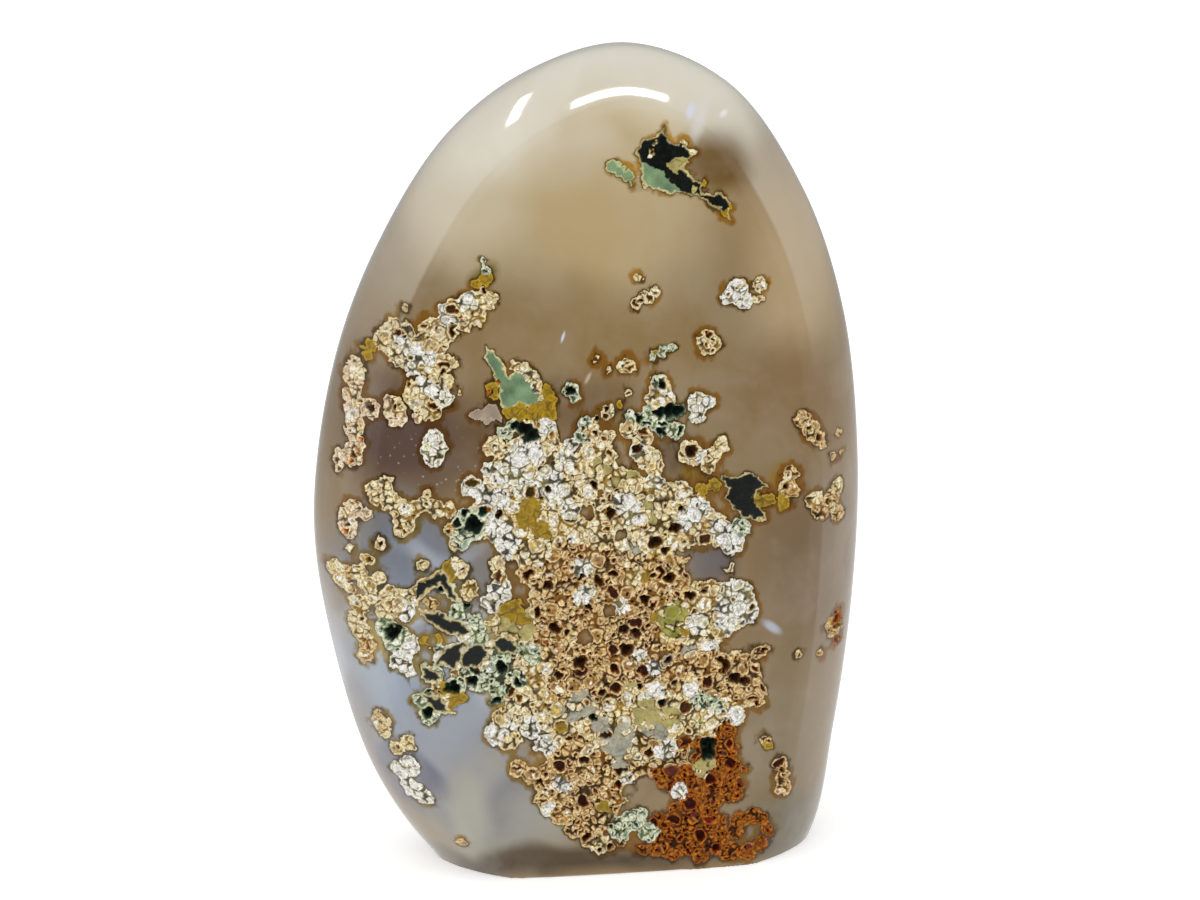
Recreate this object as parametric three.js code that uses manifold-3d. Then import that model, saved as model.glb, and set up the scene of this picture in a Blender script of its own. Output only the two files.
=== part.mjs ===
// Druzy agate freeform: an upright polished agate whose face opens into hollows lined with druzy crusts.
// Millimetres, +Z up. The base is flat at z = 0, the show face looks along -Y, and +X is to its right.

import * as THREE from 'three';
import { mergeVertices } from 'three/addons/utils/BufferGeometryUtils.js';
import Module from 'manifold-3d';

const wasm = await Module();
wasm.setup();

// Outline of the stone seen from the front, [x, z], from the base's right corner up and round to its left corner.
// The last three points carry the oval on below the base, where the stone is sawn flat.
const OUTLINE = [
  [26.3, 0], [29.9, 14], [32.9, 32], [34, 49], [32.7, 67], [28.2, 82], [19.5, 95.2], [7.5, 100.4],
  [-4.5, 97.7], [-15, 90.4], [-24.4, 77], [-30.6, 62.5], [-34, 44], [-32.6, 28], [-28.2, 11.5], [-21, 0],
  [-11, -9], [4, -13], [18, -9],
];
const OUTLINE_STEPS = 240;

// Section of the stone: an upright girdle, a rounded bevel, a soft facet edge and a slightly domed face
const GIRDLE_HALF = 2;
const BEVEL_RADIUS = 13;
const BEVEL_ANGLE = THREE.MathUtils.degToRad(58);
const BEVEL_WIDTH = BEVEL_RADIUS * (1 - Math.cos(BEVEL_ANGLE));
const FACET_FADE = 1.2;
const DOME_HEIGHT = 3.4;
const DOME_FADE = 7.5;
const DOME = { x: 0, z: 28, halfWidth: 38, halfHeight: 76 };

// Rings of the faceted stone: how far each lies inside the outline, then how far the rest shrink to the middle
const RING_INSETS = [0, 0.7, 2.5, 6.1, 7.5];
const RING_SCALES = [0.7, 0.38];
const RING_STEPS = 42;
const MIDDLE = { x: 1, z: 44 };

// Sizes of the hollows and of the crusts that line them
const HOLLOW_DEPTH = 2.2;
const PLUG_REACH = 5;
const LUMP_SIDES = 6;
const CRUST_GAP = 0.3;

// The funnel in each lump, its size as a share of the lump's radius
const PIT_SIZE = 0.6;
const PIT_SIDES = 5;
const GOLDEN_ANGLE = Math.PI * (3 - Math.sqrt(5));

// The view in which the lumps below were read, in pixels of a 1200 x 900 frame: [across, down, radius]
const VIEW = {
  width: 1200, height: 900, pixelsPerMm: 8, distance: 430, elevation: 10, azimuth: -3, roll: -2.4,
  target: new THREE.Vector3(2, 0, 50),
};
const LUMP_MM_PER_PIXEL = 0.121;

// Colours and polish
const POLISHED = 0.12;
const CRYSTALLINE = 0.7;
const AGATE = 0xa8977c;
const CREAM = 0xe4d6b8;
const TAN = 0xc29c68;
const RUST = 0x96500f;
const DARK_GREEN = 0x2f3a33;
const CELADON = 0x93a888;

const FRONT_CRUSTS = {
  druzy_crust_main: { color: TAN, filled: true, lumps: [
    [504, 460, 23], [540, 450, 22], [576, 474, 23], [604, 446, 23], [640, 428, 22], [660, 398, 23], [697, 408, 23],
    [698, 450, 24], [744, 488, 26], [740, 526, 23], [702, 542, 25], [672, 568, 24], [696, 600, 24], [738, 604, 26],
    [724, 640, 24], [750, 674, 22], [742, 706, 22], [732, 744, 23], [732, 784, 23], [754, 820, 22], [726, 846, 20],
    [686, 850, 21], [644, 846, 21], [604, 842, 22], [568, 818, 24], [542, 780, 24], [518, 734, 25], [484, 698, 23],
    [442, 690, 23], [452, 652, 22], [431, 600, 20], [470, 594, 24], [484, 552, 25], [446, 518, 22], [400, 512, 27],
    [440, 496, 19], [480, 492, 24],
  ], pits: [
    [540, 484, 26], [528, 522, 26], [588, 504, 26], [640, 474, 26], [636, 514, 24], [680, 500, 26], [714, 498, 20],
    [560, 548, 28], [612, 550, 28], [530, 596, 24], [580, 596, 28], [628, 592, 26], [664, 624, 26], [490, 640, 28],
    [540, 642, 26], [592, 644, 28], [636, 656, 24], [686, 652, 28], [562, 692, 28], [612, 700, 28], [658, 702, 28],
    [700, 700, 24], [566, 744, 26], [614, 752, 28], [662, 752, 28], [698, 742, 20], [594, 794, 28], [644, 800, 28],
    [692, 800, 28],
  ] },
  druzy_crust_upper_left: { color: CREAM, lumps: [
    [484, 272, 13], [479, 290, 18], [463, 310, 20], [440, 328, 20], [416, 338, 20], [396, 343, 20], [434, 352, 20],
    [440, 376, 19], [428, 394, 18],
  ] },
  druzy_crust_left_column: { color: TAN, lumps: [
    [358, 380, 18], [356, 402, 19], [372, 409, 18], [390, 408, 17], [355, 424, 19], [353, 446, 19],
  ] },
  druzy_crust_left_ring: { color: CREAM, lumps: [[434, 448, 17]] },
  druzy_crust_left_pair: { color: TAN, lumps: [[352, 512, 14], [348, 525, 14]] },
  druzy_crust_left_low: { color: CREAM, lumps: [
    [346, 576, 20], [362, 588, 21], [382, 602, 20], [365, 614, 21], [368, 637, 21], [383, 648, 20], [397, 654, 19],
  ] },
  druzy_crust_low_left: { color: CREAM, lumps: [[389, 728, 18], [398, 748, 19], [409, 768, 20], [419, 786, 19]] },
  druzy_crust_green_tip: { color: CELADON, lumps: [
    [499, 375, 16], [518, 388, 21], [536, 399, 16], [502, 399, 17], [489, 409, 14],
  ] },
  druzy_crust_dark_top: { color: DARK_GREEN, lumps: [
    [658, 150, 20], [672, 168, 22], [650, 172, 18], [635, 174, 16], [623, 170, 14], [691, 184, 19], [708, 197, 17],
    [720, 208, 13],
  ] },
  druzy_crust_upper_right: { color: CREAM, lumps: [[738, 293, 15], [752, 290, 13]] },
  druzy_crust_upper_disc: { color: CREAM, lumps: [[709, 343, 14]] },
  druzy_crust_centre_top: { color: CREAM, lumps: [[572, 392, 12]] },
  druzy_crust_right_high: { color: TAN, lumps: [[808, 425, 14], [815, 436, 14]] },
  druzy_crust_right_mid: { color: TAN, lumps: [[790, 478, 14], [789, 490, 14]] },
  druzy_crust_right_edge: { color: TAN, lumps: [[821, 501, 14], [832, 502, 17]] },
  druzy_crust_right_rim: { color: RUST, lumps: [[834, 629, 15]] },
  druzy_crust_low_right: { color: TAN, lumps: [[781, 768, 13], [783, 779, 13]] },
};

// Lumps of the small hollows on the back, in millimetres: [x, z, radius]
const BACK_CRUSTS = {
  druzy_crust_back_low: { color: TAN, lumps: [[6, 14, 3.2], [8, 17.4, 3.3], [5, 20.6, 3.3], [7.8, 23.8, 3.1]] },
  druzy_crust_back_high: { color: CREAM, lumps: [[-13, 59, 2.5], [-14.8, 62.2, 2.7], [-13, 65.4, 2.4]] },
};

const outlineCurve = new THREE.CatmullRomCurve3(
  OUTLINE.map(([x, z]) => new THREE.Vector3(x, 0, z)), true, 'centripetal');
const outlinePoints = outlineCurve.getSpacedPoints(OUTLINE_STEPS);

// How far a point lies inside the outline, or 0 outside it
function insetAt(x, z) {
  const point = new THREE.Vector3(x, 0, z);
  const line = new THREE.Line3();
  const nearest = new THREE.Vector3();
  let best = Infinity;
  let side = 1;
  for (let i = 0; i < OUTLINE_STEPS; i += 1) {
    line.set(outlinePoints[i], outlinePoints[i + 1]);
    line.closestPointToPoint(point, true, nearest);
    const distance = nearest.distanceTo(point);
    if (distance < best) {
      best = distance;
      const along = line.end.clone().sub(line.start);
      side = along.x * (z - line.start.z) - along.z * (x - line.start.x);
    }
  }
  return side > 0 ? best : 0;
}

// Half thickness of the stone at x, z, where the outline is inset millimetres away
function halfThickness(x, z, inset) {
  const turn = Math.acos(1 - Math.min(inset, BEVEL_WIDTH) / BEVEL_RADIUS);
  const beyond = Math.max(inset - BEVEL_WIDTH, 0);
  const facet = FACET_FADE * (1 - Math.exp(-beyond / FACET_FADE)) / Math.tan(BEVEL_ANGLE);
  const across = (x - DOME.x) / DOME.halfWidth;
  const upward = (z - DOME.z) / DOME.halfHeight;
  const dome = DOME_HEIGHT * Math.max(0, 1 - across * across - upward * upward);
  const share = THREE.MathUtils.smoothstep(inset, 0, DOME_FADE);
  return GIRDLE_HALF + BEVEL_RADIUS * Math.sin(turn) + facet + dome * share;
}

function surfacePoint(x, z, face) {
  return new THREE.Vector3(x, face * halfThickness(x, z, insetAt(x, z)), z);
}

function surfaceNormal(x, z, face) {
  const step = 0.4;
  const acrossX = surfacePoint(x + step, z, face).sub(surfacePoint(x - step, z, face));
  const acrossZ = surfacePoint(x, z + step, face).sub(surfacePoint(x, z - step, face));
  return acrossZ.cross(acrossX).normalize().multiplyScalar(face);
}

// The point of the show face that the reference view sees at a pixel
function fromPhoto(pixelX, pixelY) {
  const [elevation, azimuth, roll] = [VIEW.elevation, VIEW.azimuth, VIEW.roll].map(THREE.MathUtils.degToRad);
  const backward = new THREE.Vector3(
    Math.sin(azimuth) * Math.cos(elevation), -Math.cos(azimuth) * Math.cos(elevation), Math.sin(elevation));
  const right = new THREE.Vector3(Math.cos(azimuth), Math.sin(azimuth), 0).applyAxisAngle(backward, roll);
  const up = backward.clone().cross(right);
  const eye = VIEW.target.clone().addScaledVector(backward, VIEW.distance);
  const ray = backward.multiplyScalar(-VIEW.distance * VIEW.pixelsPerMm)
    .addScaledVector(right, pixelX - VIEW.width / 2)
    .addScaledVector(up, VIEW.height / 2 - pixelY);
  const passes = 12;
  let y = -GIRDLE_HALF - BEVEL_RADIUS;
  const point = new THREE.Vector3();
  for (let pass = 0; pass < passes; pass += 1) {
    point.copy(eye).addScaledVector(ray, (y - eye.y) / ray.y);
    y = (y - halfThickness(point.x, point.z, insetAt(point.x, point.z))) / 2;
  }
  return point;
}

function toSolid(geometry) {
  geometry.deleteAttribute('normal');
  geometry.deleteAttribute('uv');
  const merged = mergeVertices(geometry, 1e-4);
  return new wasm.Manifold(new wasm.Mesh({
    numProp: 3,
    vertProperties: new Float32Array(merged.attributes.position.array),
    triVerts: new Uint32Array(merged.index.array),
  }));
}

function toGeometry(solid) {
  const mesh = solid.getMesh();
  const geometry = new THREE.BufferGeometry();
  geometry.setAttribute('position', new THREE.BufferAttribute(mesh.vertProperties, 3));
  geometry.setIndex(new THREE.BufferAttribute(mesh.triVerts, 1));
  geometry.computeVertexNormals();
  return geometry;
}

// The whole polished oval, ring by ring from the girdle to the middle of each face
function makeOval() {
  const rim = Array.from({ length: RING_STEPS }, (_, i) => {
    const point = outlineCurve.getPointAt(i / RING_STEPS);
    const along = outlineCurve.getTangentAt(i / RING_STEPS);
    return { point, inward: new THREE.Vector3(-along.z, 0, along.x) };
  });
  const deepest = RING_INSETS.at(-1);
  const ringsOf = (face) => {
    const rings = RING_INSETS.map((inset) => rim.map(({ point, inward }) => {
      const { x, z } = point.clone().addScaledVector(inward, inset);
      return [x, face * halfThickness(x, z, inset), z];
    }));
    const last = rings.at(-1);
    RING_SCALES.forEach((scale) => rings.push(last.map(([px, , pz]) => {
      const x = MIDDLE.x + (px - MIDDLE.x) * scale;
      const z = MIDDLE.z + (pz - MIDDLE.z) * scale;
      return [x, face * halfThickness(x, z, deepest), z];
    })));
    return rings;
  };
  const rings = [...ringsOf(-1).reverse(), ...ringsOf(1)];
  const middles = [-1, 1].map((face) => [MIDDLE.x, face * halfThickness(MIDDLE.x, MIDDLE.z, deepest), MIDDLE.z]);
  const positions = [...rings.flat(), ...middles].flat();
  const faces = [];
  const vertex = (ring, step) => ring * RING_STEPS + step % RING_STEPS;
  const frontMiddle = rings.length * RING_STEPS;
  for (let step = 0; step < RING_STEPS; step += 1) {
    faces.push(frontMiddle, vertex(0, step), vertex(0, step + 1));
    faces.push(frontMiddle + 1, vertex(rings.length - 1, step + 1), vertex(rings.length - 1, step));
    for (let ring = 0; ring + 1 < rings.length; ring += 1) {
      faces.push(vertex(ring, step), vertex(ring + 1, step), vertex(ring + 1, step + 1));
      faces.push(vertex(ring, step), vertex(ring + 1, step + 1), vertex(ring, step + 1));
    }
  }
  const geometry = new THREE.BufferGeometry();
  geometry.setAttribute('position', new THREE.Float32BufferAttribute(positions, 3));
  geometry.setIndex(faces);
  return toSolid(geometry);
}

function makeBelowBase() {
  const size = 200;
  const box = new THREE.BoxGeometry(size, size, size);
  box.translate(0, 0, -size / 2);
  return toSolid(box);
}

function turnTo(geometry, normal, place) {
  geometry.applyQuaternion(new THREE.Quaternion().setFromUnitVectors(new THREE.Vector3(0, 1, 0), normal));
  return geometry.translate(place.x, place.y, place.z);
}

// A plug through the face, as wide as one lump and turned its own way
function makePlug({ place, radius }, { normal }, gap, index) {
  const plug = new THREE.CylinderGeometry(radius - gap, radius - gap, PLUG_REACH * 2, LUMP_SIDES);
  plug.rotateY(index * GOLDEN_ANGLE);
  return toSolid(turnTo(plug, normal, place));
}

// The middle of a wide crust, whose lumps stand in order round its rim
function makeMiddle({ lumps, bed }) {
  const turn = new THREE.Quaternion().setFromUnitVectors(new THREE.Vector3(0, 0, 1), bed.normal);
  const flat = turn.clone().invert();
  const rim = lumps.map(({ place }) => place.clone().applyQuaternion(flat));
  const shape = new THREE.Shape(rim.map(({ x, y }) => new THREE.Vector2(x, y)));
  const middle = new THREE.ExtrudeGeometry(shape, { depth: PLUG_REACH * 2, bevelEnabled: false });
  middle.translate(0, 0, bed.floor - PLUG_REACH);
  middle.applyQuaternion(turn);
  return toSolid(middle);
}

// All the room outside a crust's floor, which cuts its plugs off level
function makeRoom({ normal, floor }, gap) {
  const size = 160;
  const room = new THREE.BoxGeometry(size, size, size);
  room.translate(0, size / 2, 0);
  return toSolid(turnTo(room, normal, normal.clone().multiplyScalar(floor + gap)));
}

function makeFilling(crust, gap) {
  const plugs = wasm.Manifold.union(crust.lumps.map((lump, index) => makePlug(lump, crust.bed, gap, index)));
  const all = crust.filled ? plugs.add(makeMiddle(crust)) : plugs;
  return all.intersect(makeRoom(crust.bed, gap));
}

// The funnel at the middle of a lump
function makePit({ place, radius }, { normal }, index) {
  const size = (radius - CRUST_GAP) * PIT_SIZE;
  const pit = new THREE.ConeGeometry(size * 2, size * 2, PIT_SIDES);
  pit.rotateX(Math.PI);
  pit.rotateY(index * GOLDEN_ANGLE);
  return toSolid(turnTo(pit, normal, place));
}

function frontLump([pixelX, pixelY, pixelRadius]) {
  const { x, z } = fromPhoto(pixelX, pixelY);
  return makeLump(x, z, -1, pixelRadius * LUMP_MM_PER_PIXEL);
}

function backLump([x, z, radius]) {
  return makeLump(x, z, 1, radius);
}

function makeLump(x, z, face, radius) {
  return { place: surfacePoint(x, z, face), normal: surfaceNormal(x, z, face), radius };
}

// The shared direction and floor of a crust's lumps, so that its hollow has one flat bottom
function makeBed(lumps) {
  const normal = new THREE.Vector3();
  lumps.forEach((lump) => normal.add(lump.normal));
  normal.normalize();
  const lowest = Math.min(...lumps.map(({ place }) => place.dot(normal)));
  return { normal, floor: lowest - HOLLOW_DEPTH };
}

function makeMesh(name, solid, color, roughness) {
  const material = new THREE.MeshStandardMaterial({ color, roughness, metalness: 0 });
  const mesh = new THREE.Mesh(toGeometry(solid), material);
  mesh.name = name;
  return mesh;
}

const oval = makeOval().subtract(makeBelowBase());

// A crust fills its hollow but for a hairline gap, and its outer side is cut flush with the polished face.
// Every second lump on its rim and each lump listed within it opens in a funnel.
function makeCrust(crust) {
  const pitted = [...crust.lumps.filter((_, index) => index % 2 === 0), ...crust.pits];
  const pits = wasm.Manifold.union(pitted.map((lump, index) => makePit(lump, crust.bed, index)));
  return makeFilling(crust, CRUST_GAP).intersect(oval).subtract(pits);
}

function placeCrusts(crusts, toLump) {
  return Object.entries(crusts).map(([name, { color, lumps, filled = false, pits = [] }]) => {
    const placed = lumps.map(toLump);
    return { name, color, filled, lumps: placed, pits: pits.map(toLump), bed: makeBed(placed) };
  });
}

const crusts = [...placeCrusts(FRONT_CRUSTS, frontLump), ...placeCrusts(BACK_CRUSTS, backLump)];
const hollows = wasm.Manifold.union(crusts.map((crust) => makeFilling(crust, 0)));

const agate = new THREE.Group();
agate.add(makeMesh('agate_stone', oval.subtract(hollows), AGATE, POLISHED));
crusts.forEach((crust) => agate.add(makeMesh(crust.name, makeCrust(crust), crust.color, CRYSTALLINE)));

export default agate;
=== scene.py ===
"""Druzy agate freeform: a polished upright stone whose hollows are lined with druzy crusts."""
import logging
import math
from dataclasses import dataclass, field
from enum import Enum
from functools import cached_property

import bpy
import numpy as np
from mathutils import Matrix, Vector


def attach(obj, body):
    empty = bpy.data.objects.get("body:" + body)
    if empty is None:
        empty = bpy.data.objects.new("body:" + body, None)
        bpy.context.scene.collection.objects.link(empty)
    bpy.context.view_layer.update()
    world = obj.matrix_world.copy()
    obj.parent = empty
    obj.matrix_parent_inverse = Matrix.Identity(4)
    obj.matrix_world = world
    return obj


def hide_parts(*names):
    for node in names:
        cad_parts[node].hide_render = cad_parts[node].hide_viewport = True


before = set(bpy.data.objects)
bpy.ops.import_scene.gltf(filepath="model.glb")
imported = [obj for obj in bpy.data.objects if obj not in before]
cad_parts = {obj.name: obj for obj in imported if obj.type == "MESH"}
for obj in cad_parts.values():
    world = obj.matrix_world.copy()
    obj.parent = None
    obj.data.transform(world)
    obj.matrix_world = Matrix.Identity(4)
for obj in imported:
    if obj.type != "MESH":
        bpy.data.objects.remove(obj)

LOG = logging.getLogger("druzy_agate")
MM = 0.001
BODY = "root"
FRONT, BACK = -1, 1


def linear(colour: str) -> np.ndarray:
    """Turn a colour as seen, six hexadecimal digits, into linear red, green and blue."""
    seen = np.array([int(colour[i:i + 2], 16) / 255 for i in (0, 2, 4)])
    return np.where(seen <= 0.04045, seen / 12.92, ((seen + 0.055) / 1.055) ** 2.4)


def smoothstep(value: np.ndarray, low: float, high: float) -> np.ndarray:
    """Ease from 0 at low to 1 at high."""
    share = np.clip((value - low) / (high - low), 0, 1)
    return share * share * (3 - 2 * share)


def loop_distance(loop: np.ndarray, x: np.ndarray, z: np.ndarray) -> tuple[np.ndarray, np.ndarray]:
    """Measure how far points lie inside a closed loop.

    Args:
        loop: The loop's points in the x, z plane, in millimetres.
        x: The points' x.
        z: The points' z.

    Returns:
        The distance, negative outside, and the unit direction in which it grows.
    """
    along = np.roll(loop, -1, axis=0) - loop
    length2 = (along ** 2).sum(axis=1)
    distance = np.empty(len(x))
    direction = np.empty((len(x), 2))
    rows_at_once = 4000
    for part in np.array_split(np.arange(len(x)), len(x) // rows_at_once + 1):
        away = np.stack([x[part, None] - loop[:, 0], z[part, None] - loop[:, 1]])
        share = np.clip((away[0] * along[:, 0] + away[1] * along[:, 1]) / length2, 0, 1)
        gap = away - share * along.T[:, None, :]
        nearest = (gap ** 2).sum(axis=0).argmin(axis=1)
        row = np.arange(len(part))
        gap = gap[:, row, nearest]
        size = np.sqrt((gap ** 2).sum(axis=0)) + 1e-9
        crossing = (away[1] < 0) != (away[1] - along[:, 1] < 0)
        meets = away[0] - away[1] / np.where(crossing, along[:, 1], 1) * along[:, 0] < 0
        side = np.where((crossing & meets).sum(axis=1) % 2 == 1, 1.0, -1.0)
        distance[part] = size * side
        direction[part] = (gap / size * side).T
    return distance, direction


@dataclass(frozen=True)
class StoneShape:
    """The polished stone's form, in millimetres: a bevelled, slightly domed oval on a flat base."""

    points: tuple[tuple[float, float], ...] = (
        (26.3, 0), (29.9, 14), (32.9, 32), (34, 49), (32.7, 67), (28.2, 82), (19.5, 95.2), (7.5, 100.4),
        (-4.5, 97.7), (-15, 90.4), (-24.4, 77), (-30.6, 62.5), (-34, 44), (-32.6, 28), (-28.2, 11.5),
        (-21, 0), (-11, -9), (4, -13), (18, -9),
    )
    outline_steps: int = 480
    stretch_steps: int = 64
    girdle_half: float = 2
    bevel_radius: float = 13
    bevel_angle: float = math.radians(58)
    facet_fade: float = 1.2
    dome_height: float = 3.4
    dome_fade: float = 7.5
    dome_z: float = 28
    dome_half: tuple[float, float] = (38, 76)

    @cached_property
    def outline(self) -> np.ndarray:
        """The outline as equally spaced points, anticlockwise seen from the front."""
        knots = np.array(self.points, dtype=float)
        share = np.linspace(0, 1, self.stretch_steps, endpoint=False)[:, None]
        stretches = []
        for i in range(len(knots)):
            before, start, end, after = (knots[(i + k) % len(knots)] for k in (-1, 0, 1, 2))
            first, middle, last = (math.dist(*pair) ** 0.5
                                   for pair in ((before, start), (start, end), (end, after)))
            leave = ((start - before) / first - (end - before) / (first + middle)
                     + (end - start) / middle) * middle
            arrive = ((end - start) / middle - (after - start) / (middle + last)
                      + (after - end) / last) * middle
            cube = 2 * start - 2 * end + leave + arrive
            square = -3 * start + 3 * end - 2 * leave - arrive
            stretches.append(start + leave * share + square * share ** 2 + cube * share ** 3)
        fine = np.concatenate(stretches)
        fine = np.concatenate([fine, fine[:1]])
        travelled = np.concatenate([[0], np.cumsum(np.hypot(*np.diff(fine, axis=0).T))])
        wanted = np.linspace(0, travelled[-1], self.outline_steps, endpoint=False)
        return np.stack([np.interp(wanted, travelled, fine[:, k]) for k in (0, 1)], axis=1)

    def wall(self, inset: np.ndarray) -> np.ndarray:
        """Half the thickness at an inset, without the dome.

        Args:
            inset: Distances in from the outline, in millimetres.

        Returns:
            The half thicknesses.
        """
        width = self.bevel_radius * (1 - math.cos(self.bevel_angle))
        turn = np.arccos(1 - np.clip(inset, 0, width) / self.bevel_radius)
        beyond = np.maximum(inset - width, 0)
        facet = self.facet_fade * (1 - np.exp(-beyond / self.facet_fade)) / math.tan(self.bevel_angle)
        return self.girdle_half + self.bevel_radius * np.sin(turn) + facet

    def dome(self, x: np.ndarray, z: np.ndarray) -> np.ndarray:
        """How far the face bulges, before it fades towards the outline."""
        across, upward = x / self.dome_half[0], (z - self.dome_z) / self.dome_half[1]
        return self.dome_height * np.maximum(0, 1 - across ** 2 - upward ** 2)

    def surface(self, x: np.ndarray, z: np.ndarray, face: int) -> tuple[np.ndarray, np.ndarray, np.ndarray]:
        """Find the polished surface over points of the x, z plane.

        Args:
            x: The points' x in millimetres.
            z: The points' z in millimetres.
            face: FRONT or BACK.

        Returns:
            The surface's y, its unit normals, and the points' inset from the outline.
        """
        inset, inward = loop_distance(self.outline, x, z)
        inset = np.maximum(inset, 0)
        fade = smoothstep(inset, 0, self.dome_fade)
        dome = self.dome(x, z)
        step = 0.02
        slope = (self.wall(inset + step) - self.wall(np.maximum(inset - step, 0))) / (2 * step)
        slope += dome * (smoothstep(inset + step, 0, self.dome_fade) - fade) / step
        rise = inward * slope[:, None]
        rise[:, 0] -= fade * 2 * self.dome_height * x / self.dome_half[0] ** 2
        rise[:, 1] -= fade * 2 * self.dome_height * (z - self.dome_z) / self.dome_half[1] ** 2
        normal = np.stack([-rise[:, 0], np.full(len(x), float(face)), -rise[:, 1]], axis=1)
        normal /= np.linalg.norm(normal, axis=1, keepdims=True)
        return face * (self.wall(inset) + dome * fade), normal, inset


@dataclass(frozen=True)
class PhotoView:
    """The photograph's camera: what it aims at, from where, and how large it shows the stone."""

    width: int = 1200
    height: int = 900
    pixels_per_mm: float = 8
    distance: float = 430
    elevation: float = math.radians(10)
    azimuth: float = math.radians(-3)
    roll: float = math.radians(-2.4)
    target: tuple[float, float, float] = (2, 0, 50)
    sensor_width: float = 36

    @property
    def axes(self) -> tuple[Vector, Vector, Vector]:
        """The camera's right, up and back directions."""
        level = math.cos(self.elevation)
        back = Vector((math.sin(self.azimuth) * level, -math.cos(self.azimuth) * level,
                       math.sin(self.elevation)))
        right = Vector((math.cos(self.azimuth), math.sin(self.azimuth), 0))
        right.rotate(Matrix.Rotation(self.roll, 3, back))
        return right, back.cross(right), back

    @property
    def eye(self) -> Vector:
        """Where the camera stands, in millimetres."""
        return Vector(self.target) + self.axes[2] * self.distance

    def place_camera(self) -> None:
        """Add the scene's camera."""
        data = bpy.data.cameras.new("photo_view")
        data.sensor_width = self.sensor_width
        data.lens = self.sensor_width * self.pixels_per_mm * self.distance / self.width
        data.clip_start = 0.01
        camera = bpy.data.objects.new("photo_view", data)
        bpy.context.scene.collection.objects.link(camera)
        camera.matrix_world = Matrix.Translation(self.eye * MM) @ Matrix(self.axes).transposed().to_4x4()
        bpy.context.scene.camera = camera

    def on_front(self, pixels: np.ndarray, shape: StoneShape) -> np.ndarray:
        """Find where the photograph's pixels meet the show face.

        Args:
            pixels: Pixel columns and rows, one pair a row.
            shape: The stone's form.

        Returns:
            The x and z of each point, in millimetres.
        """
        right, up, back = (np.array(axis) for axis in self.axes)
        eye = np.array(self.eye)
        across = (pixels[:, :1] - self.width / 2) / (self.pixels_per_mm * self.distance)
        upward = (self.height / 2 - pixels[:, 1:2]) / (self.pixels_per_mm * self.distance)
        ray = right * across + up * upward - back
        y = np.full(len(pixels), -shape.girdle_half - shape.bevel_radius)
        passes = 12
        for _ in range(passes):
            place = eye + ray * ((y - eye[1]) / ray[:, 1])[:, None]
            y = (y + shape.surface(place[:, 0], place[:, 2], FRONT)[0]) / 2
        return place[:, [0, 2]]


class Grain(Enum):
    """The kinds of mineral that a hollow is lined with."""

    WHITE = "white crystals"
    CREAM = "cream globules"
    ROSE = "rosy cream globules"
    TAN = "tan foam"
    RUST = "rust foam"
    SAGE = "sage green druse"
    CAVE = "deep green hole"
    HOLE = "deep brown hole"
    OCHRE = "clear ochre"
    HONEY = "pale honey"
    OLIVE = "yellow green"
    PEARL = "grey pearl"
    CELADON = "celadon inlay"
    SLATE = "dark green inlay"
    BLUSH = "clear pinkish grey"


@dataclass(frozen=True)
class GrainLook:
    """How one kind of grain looks where the polished face cuts it.

    Attributes:
        seam: Colour of the matrix between cells.
        wall: Colour of the ring round each cell.
        face: Colour of the plain cells.
        crystal: Colour of the crystals in the bright cells.
        pit: Colour of the floor of open cells and pores, darkened as painted shade.
        open_share: Share of the cells that are open holes.
        crystal_share: Share of the cells that hold crystals.
        depth: Depth of an open cell in millimetres.
        sink: Depth of the whole patch in millimetres.
        relief: Height of the fine crystals in millimetres.
        polish: 1 where the patch is cut flush and polished, 0 where it is rough.
    """

    seam: str
    wall: str
    face: str
    crystal: str
    pit: str
    open_share: float = 0.0
    crystal_share: float = 0.0
    depth: float = 0.0
    sink: float = 0.0
    relief: float = 0.0
    polish: float = 0.0


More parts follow.
